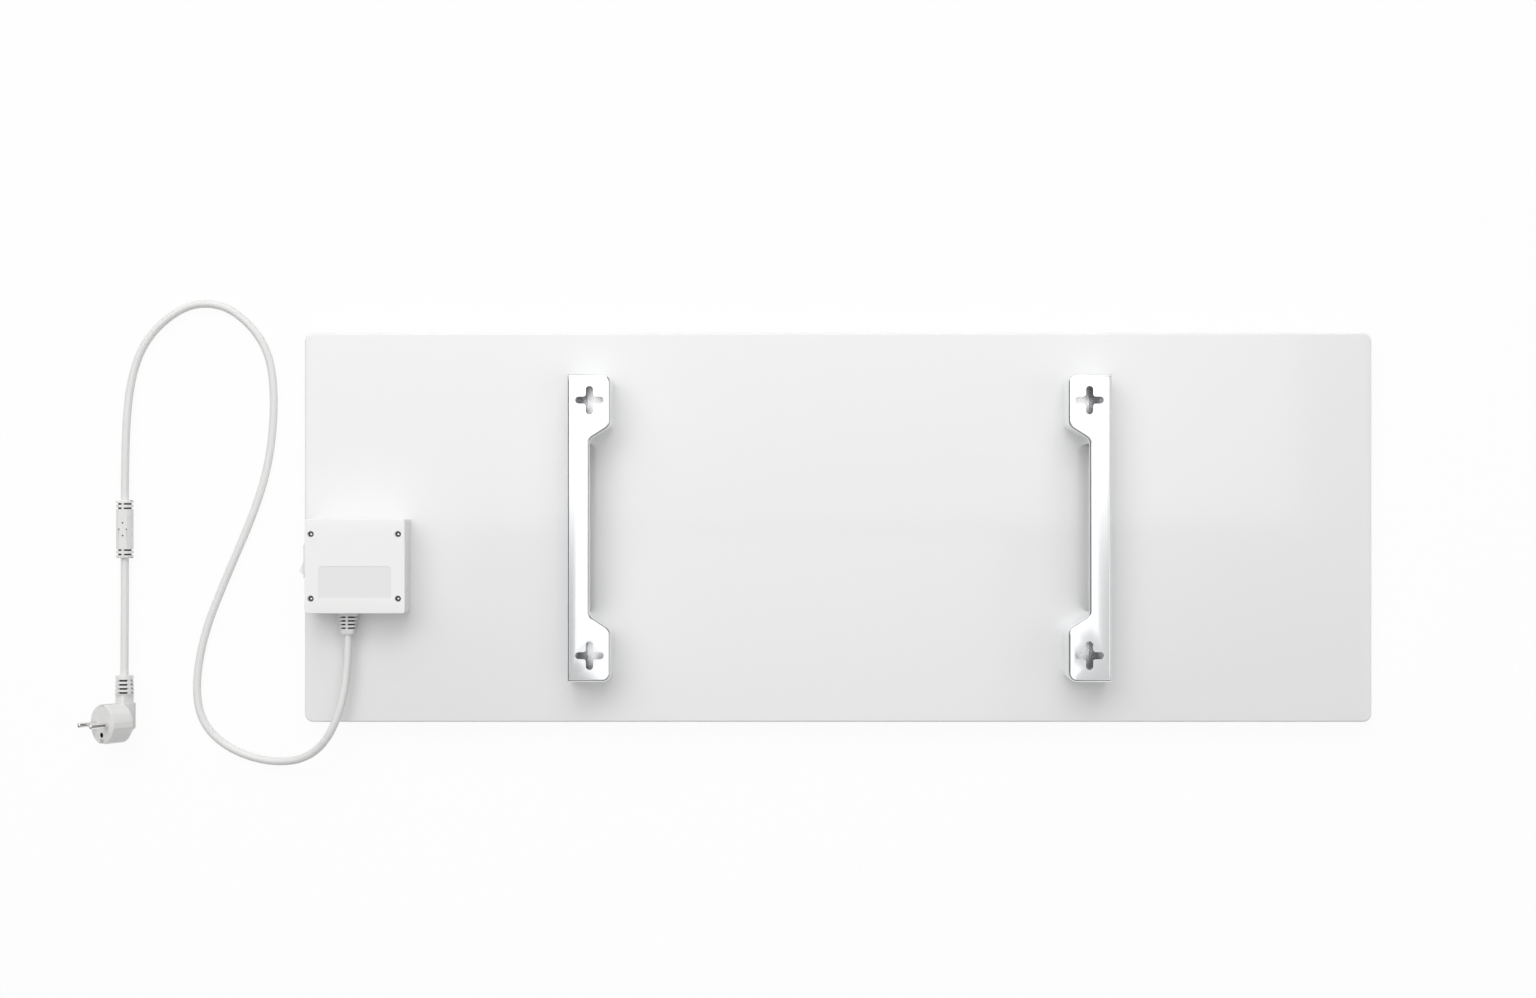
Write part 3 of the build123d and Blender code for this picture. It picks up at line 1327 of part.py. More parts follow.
with BuildPart() as ferrite_core:
    with BuildSketch(inline_plane.offset(-ferrite_length / 2)):
        RegularPolygon(ferrite_radius, cord_sides)
        RegularPolygon(ferrite_bore, cord_sides, mode=Mode.SUBTRACT)
    extrude(amount=ferrite_length)
ferrite_core.part.label = "ferrite_core"
export_step(ferrite_core.part, "parts/ferrite_core.step")

with BuildPart() as inline_cord:
    with BuildSketch(inline_plane.offset(-inline_size[1] / 2)):
        RegularPolygon(cord_radius, cord_sides)
    extrude(amount=inline_size[1])
inline_cord.part.label = "inline_cord"
export_step(inline_cord.part, "parts/inline_cord.step")

# ---------------------------------------------------------------- plug

# Sketches square to the cord: local x along the pins' axis, local y across it.
across_plane = Plane(origin=plug_face, x_dir=-plug_u, z_dir=(0, 1, 0))
# Side view of the plug: local x runs back from the face, local y along the cord.
side_plane = Plane(origin=plug_face, x_dir=-plug_u, z_dir=plug_v)
cord_way = 1 if side_plane.y_dir.Y > 0 else -1

# grooves of the two side contacts and the notches at their front ends
with BuildPart() as clip_cuts:
    with BuildSketch(face_plane.offset(-clip_groove[2])):
        with GridLocations(0, 2 * plug_radius, 1, 2):
            Rectangle(clip_groove[0], 2 * clip_groove[1])
    extrude(amount=clip_groove[2])
    with BuildSketch(face_plane.offset(-clip_notch_length)):
        with GridLocations(0, 2 * plug_radius, 1, 2):
            Rectangle(clip_groove[0], 2 * clip_notch_depth)
    extrude(amount=clip_notch_length)

with BuildPart() as plug_body:
    with BuildSketch(face_plane.offset(-plug_body_depth)):
        Circle(plug_radius)
    extrude(amount=plug_body_depth)
    rims = plug_body.edges().filter_by(GeomType.CIRCLE)
    chamfer(rims, plug_edge)
    # guide ribs along both sides
    with BuildSketch(face_plane.offset(-plug_body_depth)):
        Rectangle(2 * rim_reach, plug_rib[0])
    extrude(amount=plug_body_depth - plug_edge)
    # wedge that narrows to the grip fin, with a bead along its edge
    with BuildSketch(across_plane.offset(-fin_bottom)):
        with BuildLine():
            Polyline(
                (plug_body_depth - fin_bite, fin_root_half), (fin_root, fin_root_half),
                (fin_end - fin_bead, fin_neck_half), (fin_end - fin_bead, fin_half),
                (fin_end, fin_half), (fin_end, -fin_half), (fin_end - fin_bead, -fin_half),
                (fin_end - fin_bead, -fin_neck_half), (fin_root, -fin_root_half),
                (plug_body_depth - fin_bite, -fin_root_half), close=True,
            )
        make_face()
    extrude(amount=fin_bottom + fin_top)
    with BuildSketch(side_plane.offset(-fin_root_half)):
        with BuildLine():
            Polyline(
                (fin_end + 1, cord_way * -(fin_bottom + 1)),
                (fin_end + 1, cord_way * (fin_chamfer[1] - fin_bottom + 1)),
                (fin_end - fin_chamfer[0] - 1, cord_way * -(fin_bottom + 1)), close=True,
            )
        make_face()
    extrude(amount=2 * fin_root_half, mode=Mode.SUBTRACT)
    # neck that turns the cord square to the pins
    with BuildSketch(across_plane):
        with Locations((plug_exit, 0)):
            neck_outline = Rectangle(plug_neck, plug_neck)
        chamfer(neck_outline.vertices(), plug_neck_corner)
    extrude(amount=plug_neck_top)
    # ribbed bend relief
    relief_base = across_plane.offset(plug_neck_top)
    with BuildSketch(relief_base):
        with Locations((plug_exit, 0)):
            RegularPolygon(plug_relief_radii[0], round_sides)
    with BuildSketch(relief_base.offset(plug_relief_length)):
        with Locations((plug_exit, 0)):
            RegularPolygon(plug_relief_radii[1], round_sides)
    loft()
    for row in range(relief_rows):
        middle = plug_relief_first + row * plug_relief_pitch
        with BuildSketch(relief_base.offset(middle - plug_relief_slot / 2)):
            with Locations((plug_exit, 0)):
                Rectangle(4 * plug_relief_radii[0], 4 * plug_relief_radii[0])
                RegularPolygon(plug_relief_core, round_sides, mode=Mode.SUBTRACT)
                Rectangle(plug_relief_spine, 4 * plug_relief_radii[0], mode=Mode.SUBTRACT)
                Rectangle(4 * plug_relief_radii[0], plug_relief_spine, mode=Mode.SUBTRACT)
        extrude(amount=plug_relief_slot, mode=Mode.SUBTRACT)
    # hollow for the pin carrier, grooves of the side contacts and the bore for the cord's end
    with BuildSketch(face_plane.offset(-bridge_depth)):
        Circle(bridge_radius)
    extrude(amount=bridge_depth, mode=Mode.SUBTRACT)
    add(clip_cuts.part, mode=Mode.SUBTRACT)
    with BuildSketch(across_plane):
        with Locations((plug_exit, 0)):
            RegularPolygon(cord_radius + fit, cord_sides)
    extrude(amount=plug_neck_top + plug_relief_length, mode=Mode.SUBTRACT)
    # small mark on the wedge's upper side
    with BuildSketch(side_plane.offset(fin_root_half)):
        with Locations((plug_body_depth + fin_dot_place[0], cord_way * fin_dot_place[1])):
            RegularPolygon(fin_dot_radius, round_sides)
    extrude(amount=-fin_root_half / 2, mode=Mode.SUBTRACT)
plug_body.part.label = "plug_body"
export_step(plug_body.part, "parts/plug_body.step")

with BuildPart() as plug_pins:
    with BuildSketch(face_plane.offset(-pin_root)):
        with GridLocations(pin_spacing, 0, 2, 1):
            RegularPolygon(pin_radius, round_sides)
    extrude(amount=pin_root)
    with BuildSketch(face_plane):
        with GridLocations(pin_spacing, 0, 2, 1):
            Circle(pin_radius)
    extrude(amount=pin_length)
    tips = plug_pins.faces().sort_by(Axis(plug_face, plug_u))[-2:]
    chamfer(tips.edges(), pin_tip)
plug_pins.part.label = "plug_pins"
export_step(plug_pins.part, "parts/plug_pins.step")

with BuildPart() as plug_earth_socket:
    with BuildSketch(face_plane.offset(-earth_socket_depth)):
        with Locations((0, earth_socket_y)):
            RegularPolygon(earth_socket_radius + earth_sleeve_wall, round_sides, major_radius=False)
            Circle(earth_socket_radius, mode=Mode.SUBTRACT)
    extrude(amount=earth_socket_depth)
    with BuildSketch(face_plane.offset(-earth_socket_depth)):
        with Locations((0, earth_socket_y)):
            Circle(earth_socket_radius)
    extrude(amount=earth_socket_end)
plug_earth_socket.part.label = "plug_earth_socket"
export_step(plug_earth_socket.part, "parts/plug_earth_socket.step")

with BuildPart() as plug_earth_clips:
    groove_floor = plug_radius - clip_groove[1]
    for way in (-1, 1):
        with BuildSketch(Plane(
            origin=plug_face - plug_v * (clip_width / 2), x_dir=-plug_u, z_dir=plug_v,
        )):
            with BuildLine():
                Polyline(
                    (clip_notch_length, way * groove_floor),
                    (clip_groove[2], way * groove_floor),
                    (clip_groove[2], way * (groove_floor + clip_thickness)),
                    (clip_groove[2] - clip_foot, way * (groove_floor + clip_thickness)),
                    (clip_groove[2] / 2, way * (groove_floor + clip_thickness + clip_hump)),
                    (clip_notch_length + clip_lead, way * (groove_floor + clip_thickness)),
                    (clip_notch_length, way * (groove_floor + clip_thickness)), close=True,
                )
            make_face()
        extrude(amount=clip_width)
plug_earth_clips.part.label = "plug_earth_clips"
export_step(plug_earth_clips.part, "parts/plug_earth_clips.step")

with BuildPart() as plug_bridge:
    with BuildSketch(face_plane.offset(-bridge_depth)):
        Circle(bridge_radius)
    extrude(amount=bridge_depth)
    with BuildSketch(face_plane.offset(-pin_root)):
        with GridLocations(pin_spacing, 0, 2, 1):
            RegularPolygon(pin_radius + fit, round_sides)
    extrude(amount=pin_root, mode=Mode.SUBTRACT)
    with BuildSketch(face_plane.offset(-earth_socket_depth)):
        with Locations((0, earth_socket_y)):
            RegularPolygon(
                earth_socket_radius + earth_sleeve_wall + fit, round_sides, major_radius=False,
            )
    extrude(amount=earth_socket_depth, mode=Mode.SUBTRACT)
    add(clip_cuts.part, mode=Mode.SUBTRACT)
plug_bridge.part.label = "plug_bridge"
export_step(plug_bridge.part, "parts/plug_bridge.step")

with BuildPart() as plug_cord_end:
    with BuildSketch(across_plane):
        with Locations((plug_exit, 0)):
            RegularPolygon(cord_radius, cord_sides)
    extrude(amount=plug_neck_top + plug_relief_length)
plug_cord_end.part.label = "plug_cord_end"
export_step(plug_cord_end.part, "parts/plug_cord_end.step")

print("plug roll", round(plug_roll, 2), "cord axis height", round(plug_axis_height, 3))
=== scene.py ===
import json
from math import asin, copysign, cos, degrees, pi, radians, sin, sqrt, tan

import bmesh
import bpy
from mathutils import Matrix, Vector


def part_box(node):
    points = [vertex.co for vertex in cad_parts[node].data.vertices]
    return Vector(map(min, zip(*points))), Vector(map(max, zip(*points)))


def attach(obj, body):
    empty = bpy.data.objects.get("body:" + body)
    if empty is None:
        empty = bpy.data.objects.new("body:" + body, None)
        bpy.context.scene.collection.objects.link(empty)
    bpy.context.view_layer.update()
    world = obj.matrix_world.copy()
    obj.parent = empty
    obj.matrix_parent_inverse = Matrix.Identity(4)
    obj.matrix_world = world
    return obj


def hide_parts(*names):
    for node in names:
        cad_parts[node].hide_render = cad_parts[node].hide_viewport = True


# Infrared panel heater on its radiant face, seen from straight above its back.
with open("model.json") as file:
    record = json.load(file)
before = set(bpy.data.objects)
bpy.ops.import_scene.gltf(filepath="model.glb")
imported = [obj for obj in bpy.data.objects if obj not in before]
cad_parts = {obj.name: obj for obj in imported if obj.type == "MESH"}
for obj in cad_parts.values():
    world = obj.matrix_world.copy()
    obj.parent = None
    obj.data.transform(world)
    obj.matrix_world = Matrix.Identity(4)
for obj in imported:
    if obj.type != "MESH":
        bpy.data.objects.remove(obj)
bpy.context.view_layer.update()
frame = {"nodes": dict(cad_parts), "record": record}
nodes = frame["nodes"]

# ---------------------------------------------------------------- camera
# It looks straight down. The brackets show their walls by different amounts, which puts the
# lens a little left of the panel's middle.
lens = bpy.data.cameras.new("camera")
lens.lens = 47.03
lens.sensor_width = 36
camera = bpy.data.objects.new("camera", lens)
camera.location = (-0.0658, 0.0266, 1.900)
bpy.context.scene.collection.objects.link(camera)
bpy.context.scene.camera = camera
bpy.context.scene.view_settings.view_transform = "Standard"


# ---------------------------------------------------------------- mains cord
# One round off-white PVC cord. It leaves the terminal box, drops over the panel's lower edge,
# swings round once below and once above on the surface and enters the inline suppressor.
smoother, rougher = 0.88, 1.12       # how far the grain moves a finish's roughness
coat_roughness = 0.08


def grained(name, colour, roughness, cloud=8.0, spread=0.02, grain=900.0, depth=0.00004,
            stretch=(1, 1, 1), metallic=0.0, coat=0.0):
    """A finish with a faint cloudy tint and a fine grain, both fixed to the piece itself."""
    finish = bpy.data.materials.new(name)
    finish.use_nodes = True
    tree = finish.node_tree
    shader = tree.nodes["Principled BSDF"]
    place = tree.nodes.new("ShaderNodeTexCoord")
    run = tree.nodes.new("ShaderNodeMapping")
    run.inputs["Scale"].default_value = stretch
    tree.links.new(place.outputs["Object"], run.inputs["Vector"])

    clouds = tree.nodes.new("ShaderNodeTexNoise")
    clouds.inputs["Scale"].default_value = cloud
    clouds.inputs["Detail"].default_value = 4
    tree.links.new(run.outputs["Vector"], clouds.inputs["Vector"])
    tint = tree.nodes.new("ShaderNodeMix")
    tint.data_type = "RGBA"
    tint.inputs["A"].default_value = (*[c * (1 - spread) for c in colour], 1)
    tint.inputs["B"].default_value = (*[min(1, c * (1 + spread)) for c in colour], 1)
    tree.links.new(clouds.outputs["Fac"], tint.inputs["Factor"])
    tree.links.new(tint.outputs["Result"], shader.inputs["Base Color"])

    fine = tree.nodes.new("ShaderNodeTexNoise")
    fine.inputs["Scale"].default_value = grain
    fine.inputs["Detail"].default_value = 3
    tree.links.new(run.outputs["Vector"], fine.inputs["Vector"])
    sheen = tree.nodes.new("ShaderNodeMapRange")
    sheen.inputs["To Min"].default_value = roughness * smoother
    sheen.inputs["To Max"].default_value = roughness * rougher
    tree.links.new(fine.outputs["Fac"], sheen.inputs["Value"])
    tree.links.new(sheen.outputs["Result"], shader.inputs["Roughness"])
    relief = tree.nodes.new("ShaderNodeBump")
    relief.inputs["Distance"].default_value = depth
    tree.links.new(fine.outputs["Fac"], relief.inputs["Height"])
    tree.links.new(relief.outputs["Normal"], shader.inputs["Normal"])
    shader.inputs["Metallic"].default_value = metallic
    shader.inputs["Coat Weight"].default_value = coat
    shader.inputs["Coat Roughness"].default_value = coat_roughness
    return finish


def lay_cord(name, points, radius, finish):
    """A round cord along a smooth spline."""
    curve = bpy.data.curves.new(name, "CURVE")
    curve.dimensions = "3D"
    curve.bevel_depth = radius
    curve.bevel_resolution = 6
    curve.resolution_u = 10
    curve.use_fill_caps = True
    spline = curve.splines.new("NURBS")
    spline.points.add(len(points) - 1)
    for control, point in zip(spline.points, points):
        control.co = (*point, 1)
    spline.order_u = 3
    spline.use_endpoint_u = True
    curve.materials.append(finish)
    cord = bpy.data.objects.new(name, curve)
    bpy.context.scene.collection.objects.link(cord)
    return cord


cord_radius = 0.0037
cord_finish = grained("cord_pvc", (0.80, 0.80, 0.79), 0.42, cloud=14, spread=0.015,
                      grain=2600, depth=0.00002)
cord_points = [
    (-0.4570, -0.0993, 0.0310), (-0.4570, -0.1410, 0.0310), (-0.4700, -0.1900, 0.0335),
    (-0.4955, -0.2165, 0.0230), (-0.5350, -0.2220, 0.0090), (-0.5750, -0.2100, 0.0040),
    (-0.6005, -0.1860, 0.0039), (-0.6073, -0.1505, 0.0039), (-0.5985, -0.1000, 0.0039),
    (-0.5805, -0.0540, 0.0039), (-0.5465, 0.0250, 0.0039), (-0.5340, 0.0780, 0.0039),
    (-0.5320, 0.1390, 0.0039), (-0.5420, 0.1765, 0.0039), (-0.5700, 0.2055, 0.0039),
    (-0.5985, 0.2130, 0.0039), (-0.6255, 0.2045, 0.0039), (-0.6535, 0.1785, 0.0039),
    (-0.6680, 0.1415, 0.0042), (-0.6725, 0.0830, 0.0070), (-0.6725, 0.0254, 0.0070),
]
power_cord = lay_cord("mains_cord", cord_points, cord_radius, cord_finish)
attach(power_cord, "heater")
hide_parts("power_cord")

# The short length from the inline suppressor to the plug.
cord_tail_start = Vector((-0.6725, -0.0290, 0.0070))
plug_cord = Vector((-0.6720, -0.1396, 0.009576))
straight_share = 0.3         # of its run that the cord goes straight at each end
tail_run = straight_share * (plug_cord.y - cord_tail_start.y)
tail_points = [
    tuple(cord_tail_start), (cord_tail_start.x, cord_tail_start.y + tail_run, cord_tail_start.z),
    (plug_cord.x, plug_cord.y - tail_run, plug_cord.z), tuple(plug_cord),
]
cord_tail = lay_cord("plug_cord", tail_points, cord_radius, cord_finish)
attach(cord_tail, "heater")
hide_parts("cord_tail")


# ---------------------------------------------------------------- panel
# Two pressed steel trays, one in the other: the radiant pan below and the rear sheet, whose rim
# stops short of the surface. Both are stoved in white gloss enamel with a trace of orange peel.
rear_corner, rear_bend, rear_thickness = 0.008, 0.002, 0.0008
pan_corner, pan_bend, pan_thickness = 0.007, 0.0012, 0.0010
least_radius = 0.00002       # of a corner that is drawn in to nothing
place_digits = 7             # decimals to which two points are one


def set_down(shape, name, finish, stands_for=(), body="heater", crease=35):
    """Makes the shape an object where it stands, rides it and hides the nodes it stands for."""
    mesh = bpy.data.meshes.new(name)
    borders = [edge.is_boundary for edge in shape.edges]
    shape.to_mesh(mesh)
    shape.free()
    mesh.materials.append(finish)
    mesh.shade_smooth()
    mesh.set_sharp_from_angle(angle=radians(crease))
    for edge, border in zip(mesh.edges, borders):
        edge.use_edge_sharp = edge.use_edge_sharp or border
    piece = bpy.data.objects.new(name, mesh)
    bpy.context.scene.collection.objects.link(piece)
    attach(piece, body)
    if stands_for:
        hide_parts(*stands_for)
    return piece


def rounded(corners, inset=0.0, steps=6):
    """Points round a counterclockwise outline of (x, y, radius) corners, drawn in by inset."""
    outline = []
    for index, (x, y, radius) in enumerate(corners):
        corner = Vector((x, y))
        before = (corner - Vector(corners[index - 1][:2])).normalized()
        after = (Vector(corners[(index + 1) % len(corners)][:2]) - corner).normalized()
        side_in, side_out = Vector((-before.y, before.x)), Vector((-after.y, after.x))
        corner += (side_in + side_out) * inset / (1 + side_in.dot(side_out))
        if radius == 0:
            outline.append(corner)
            continue
        turn = -before.angle_signed(after)
        inwards = 1 if turn > 0 else -1
        reach = max(radius - inwards * inset, least_radius)
        start = corner - before * reach * tan(abs(turn) / 2)
        middle = start + side_in * inwards * reach
        for step in range(steps + 1):
            outline.append(middle + Matrix.Rotation(turn * step / steps, 2) @ (start - middle))
    return outline


def box_corners(x0, x1, y0, y1, radius):
    return [(x0, y0, radius), (x1, y0, radius), (x1, y1, radius), (x0, y1, radius)]


def centred_corners(half_x, half_y, radius):
    return box_corners(-half_x, half_x, -half_y, half_y, radius)


def plan_of(corners, steps=6):
    """The rounded outline of some corners, as a function of how far it is drawn in."""
    return lambda inset=0.0: rounded(corners, inset, steps)


def ring(shape, outline, z, shared=()):
    """Points of an outline at one height. Those that stand on a shared point are that point."""
    def key(point):
        return round(point.x, place_digits), round(point.y, place_digits)
    found = {key(v.co): v for v in shared}
    return [found.get(key(p)) or shape.verts.new((p.x, p.y, z)) for p in outline]


def walls(shape, lower, upper):
    """Faces between two rings with as many points."""
    for index in range(len(lower)):
        shape.faces.new((lower[index - 1], lower[index], upper[index], upper[index - 1]))


def flat(shape, *rings, normal=(0, 0, 1)):
    """Fills between closed rings that lie in one plane, apart from the edges they share."""
    pairs = [pair for points in rings for pair in zip(points, points[1:] + points[:1])]
    either_way = [frozenset(pair) for pair in pairs]
    edges = [shape.edges.get(pair) or shape.edges.new(pair)
             for pair, ends in zip(pairs, either_way) if either_way.count(ends) == 1]
    return bmesh.ops.triangle_fill(shape, use_beauty=True, edges=edges, normal=normal)


def stack(shape, levels):
    """Skins a row of (outline, height): walls between heights, a flat step where it stays."""
    rings = [ring(shape, *levels[0])]
    for (outline, z), (_, z_before) in zip(levels[1:], levels):
        if z == z_before:
            rings.append(ring(shape, outline, z, rings[-1]))
            flat(shape, *rings[-2:])
        else:
            rings.append(ring(shape, outline, z))
            walls(shape, *rings[-2:])
    return rings


def edge_round(plan, radius, z, way=1, steps=5):
    """Levels that round a plan's edge over into the flat at height z."""
    levels = [
        (plan(radius * (1 - cos(pi / 2 * step / steps))),
         z - way * radius * (1 - sin(pi / 2 * step / steps))) for step in range(steps + 1)
    ]
    return levels if way > 0 else levels[::-1]


def faced_out(shape):
    """The same shape with its faces turned outwards."""
    bmesh.ops.recalc_face_normals(shape, faces=shape.faces)
    return shape


def sheet_wall(piece, thickness):
    """Gives a skin the sheet's thickness, inwards."""
    wall = piece.modifiers.new("sheet", "SOLIDIFY")
    wall.thickness = thickness
    wall.offset = -1
    wall.use_even_offset = True


def broken_edges(piece, width, segments=2, angle=40):
    """Takes the sharpness off the edges."""
    edge = piece.modifiers.new("edge", "BEVEL")
    edge.width = width
    edge.segments = segments
    edge.limit_method = "ANGLE"
    edge.angle_limit = radians(angle)
    edge.harden_normals = True


def tray(node, corner, bend, closed_up):
    """A pressed tray in a node's box, closed above or below."""
    low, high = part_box(node)
    plan = plan_of(box_corners(low.x, high.x, low.y, high.y, corner), steps=10)
    shape = bmesh.new()
    if closed_up:
        rings = stack(shape, [(plan(), low.z)] + edge_round(plan, bend, high.z))
        flat(shape, rings[-1])
    else:
        rings = stack(shape, edge_round(plan, bend, low.z, way=-1) + [(plan(), high.z)])
        flat(shape, rings[0])
    return faced_out(shape)


enamel = grained("white_enamel", (0.86, 0.86, 0.86), 0.22, cloud=3, spread=0.006, grain=420,
                 depth=0.00001, coat=1.0)
rear_sheet = set_down(tray("rear_panel", rear_corner, rear_bend, closed_up=True), "rear_sheet",
                      enamel, ["rear_panel"])
sheet_wall(rear_sheet, rear_thickness)
radiant_pan = set_down(tray("front_panel", pan_corner, pan_bend, closed_up=False), "radiant_pan",
                       enamel, ["front_panel"])
sheet_wall(radiant_pan, pan_thickness)

# ---------------------------------------------------------------- hanging brackets
# Each is bent from bright steel sheet: a flat strip that widens to a tab at both ends, an outer
# web, walls round the tabs and feet riveted to the rear sheet. A cross keyhole goes through each
# tab, and the bare foot under it shows through.
web_x, strip_x, tab_x = 0.25075, 0.2300, 0.2105
end_y, slant_y, slant_end = 0.142, 0.0935, 0.0813
end_round, slant_outer, slant_inner = 0.008, 0.009, 0.007
web_foot, tab_foot = (0, 0.134), (0.1025, 0.1325)
web_foot_reach, tab_foot_reach = -0.0155, 0.0245
bracket_bend, lip_depth = 0.0030, 0.004
bracket_sheet, bracket_edge = 0.0015, 0.0002
keyhole_x, keyhole_y = 0.230, 0.1175
arm, half_slot, flare, arm_end = 0.0131, 0.00325, 0.0026, 0.00324
touch = 1e-6                 # how near counts as on a face
bracket_corners = [
    (web_x, -end_y, 0), (web_x, -web_foot[1], 0), (web_x, web_foot[1], 0), (web_x, end_y, 0),
    (tab_x, end_y, end_round), (tab_x, tab_foot[1], 0), (tab_x, tab_foot[0], 0),
    (tab_x, slant_y, slant_outer), (strip_x, slant_end, slant_inner),
    (strip_x, -slant_end, slant_inner), (tab_x, -slant_y, slant_outer), (tab_x, -tab_foot[0], 0),
    (tab_x, -tab_foot[1], 0), (tab_x, -end_y, end_round),
]
cross_corners = []
for way in range(4):
    turn = Matrix.Rotation(pi / 2 * way, 2)
    for x, y, radius in ((arm, -half_slot, arm_end), (arm, half_slot, arm_end),
                         (half_slot, half_slot, flare)):
        cross_corners.append((*(turn @ Vector((x, y))), radius))


def second_finish(geometry):
    """Gives the faces among some geometry the piece's second finish."""
    for item in geometry:
        if isinstance(item, bmesh.types.BMFace):
            item.material_index = 1


def bent_bracket(side):
    low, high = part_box("bracket_right")
    plan = plan_of(bracket_corners)
    skin = bmesh.new()
    rings = stack(skin, [(plan(), low.z), (plan(), high.z - lip_depth)]
                  + edge_round(plan, bracket_bend, high.z))
    keyholes = [
        ring(skin, [Vector((keyhole_x, way * keyhole_y)) + p for p in rounded(cross_corners)],
             high.z) for way in (-1, 1)
    ]
    flat(skin, rings[-1], *keyholes)
    # between the tabs the strip keeps only a turned-down lip
    open_side = [
        f for f in skin.faces if all(abs(v.co.x - strip_x) < touch for v in f.verts)
        and min(v.co.z for v in f.verts) < high.z - lip_depth - touch
    ]
    bmesh.ops.delete(skin, geom=open_side, context="FACES")
    # feet turned in under the web and under the tabs' inner walls
    for foot_x, limits, reach in ((web_x, web_foot, web_foot_reach),
                                  (tab_x, tab_foot, tab_foot_reach)):
        bottom = [
            e for e in skin.edges if all(
                v.co.z < low.z + touch and abs(v.co.x - foot_x) < touch
                and limits[0] - touch < abs(v.co.y) < limits[1] + touch for v in e.verts)
        ]
        turned = bmesh.ops.extrude_edge_only(skin, edges=bottom)["geom"]
        moved = [v for v in turned if isinstance(v, bmesh.types.BMVert)]
        bmesh.ops.translate(skin, vec=(reach, 0, 0), verts=moved)
        second_finish(turned)
    faced_out(skin)
    if side < 0:
        bmesh.ops.scale(skin, vec=(-1, 1, 1), verts=skin.verts)
        bmesh.ops.reverse_faces(skin, faces=skin.faces)
    return skin


bright_steel = grained("bracket_steel", (0.95, 0.96, 0.97), 0.17, cloud=5, spread=0.01, grain=60,
                       depth=0.000004, stretch=(22, 1, 22), metallic=1.0)
# the feet's steel, which also paints the highlight in the screws' dishes
foot_steel_and_dish_highlight = grained("bracket_foot_and_dish_highlight", (0.97, 0.97, 0.98), 0.27, cloud=5, spread=0.01, metallic=1.0)
for side, name in ((1, "right"), (-1, "left")):
    bracket = set_down(bent_bracket(side), f"{name}_bracket", bright_steel,
                       [f"bracket_{name}"])
    sheet_wall(bracket, bracket_sheet)
    broken_edges(bracket, bracket_edge, angle=60)
    bracket.data.materials.append(foot_steel_and_dish_highlight)


# ---------------------------------------------------------------- bracket rivets
# Eight zinc-plated rivets with low domed heads hold the brackets' feet to the rear sheet.
rivet_places = ((0.24225, 0.128), (0.2165, 0.1175))
rivet_head, rivet_shank, rivet_head_height, rivet_dome = 0.0033, 0.0016, 0.0012, 0.0011
rivet_sides = 24


def round_plan(x, y, radius, count=32):
    """A round outline that can be drawn in."""
    return lambda inset=0.0: [
        Vector((x + (radius - inset) * cos(2 * pi * i / count),
                y + (radius - inset) * sin(2 * pi * i / count))) for i in range(count)
    ]


def capped(shape, rings):
    """Closes both ends of a skin."""
    flat(shape, rings[0])
    flat(shape, rings[-1])


zinc = grained("zinc_plate", (0.68, 0.68, 0.68), 0.3, cloud=150, spread=0.06, metallic=1.0)
low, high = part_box("bracket_rivets")
lower_seat, upper_seat = low.z + rivet_head_height, high.z - rivet_head_height
rivets = bmesh.new()
for x, y in rivet_places:
    for side, way in ((-1, -1), (-1, 1), (1, -1), (1, 1)):
        head, shank = (
            round_plan(side * x, way * y, r, rivet_sides) for r in (rivet_head, rivet_shank))
        capped(rivets, stack(rivets, [
            (head(), low.z), (head(), lower_seat), (shank(), lower_seat), (shank(), upper_seat),
            (head(), upper_seat)] + edge_round(head, rivet_dome, high.z)))
set_down(faced_out(rivets), "rivets", zinc, ["bracket_rivets"])

# ---------------------------------------------------------------- terminal box cover
# A moulded white hood over the terminals, with four screw recesses, a shallow bare field for a
# rating plate and a cut-out for the rocker switch in its end wall.
box_wall, ceiling, hood_corner, hood_edge = 0.0022, 0.0456, 0.0025, 0.0007
screw_places = [(x, y) for x in (-0.4873, -0.4069) for y in (-0.0653, -0.0058)]
recess_radius, recess_floor, recess_lip = 0.0028, 0.0465, 0.0002
field_left, field_right, field_low, field_high = -0.480, -0.413, -0.065, -0.0355
field_round, field_depth = 0.0034, 0.00035
switch_y, switch_z = -0.031, 0.0355
cutout_half_y, cutout_half_z = 0.0142, 0.0112
low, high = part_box("terminal_box_cover")
hood_plan = plan_of(box_corners(low.x, high.x, low.y, high.y, hood_corner))
field = rounded([
    (field_left, field_low, 0), (field_right, field_low, 0),
    (field_right, field_high, field_round), (field_left, field_high, field_round)])
hood = bmesh.new()
outer = stack(hood, [(hood_plan(), low.z)] + edge_round(hood_plan, hood_edge, high.z))
inner = stack(hood, [(hood_plan(box_wall), low.z), (hood_plan(box_wall), ceiling)])
flat(hood, outer[0], inner[0])
flat(hood, inner[-1])
mouths = []
for x, y in screw_places:
    recess = round_plan(x, y, recess_radius)
    pocket = stack(hood, [(recess(), recess_floor), (recess(), high.z - recess_lip),
                          (recess(-recess_lip), high.z)])
    flat(hood, pocket[0])
    mouths.append(pocket[-1])
pocket = stack(hood, [(field, high.z - field_depth), (field, high.z)])
second_finish(flat(hood, pocket[0])["geom"])
flat(hood, outer[-1], *mouths, pocket[-1])
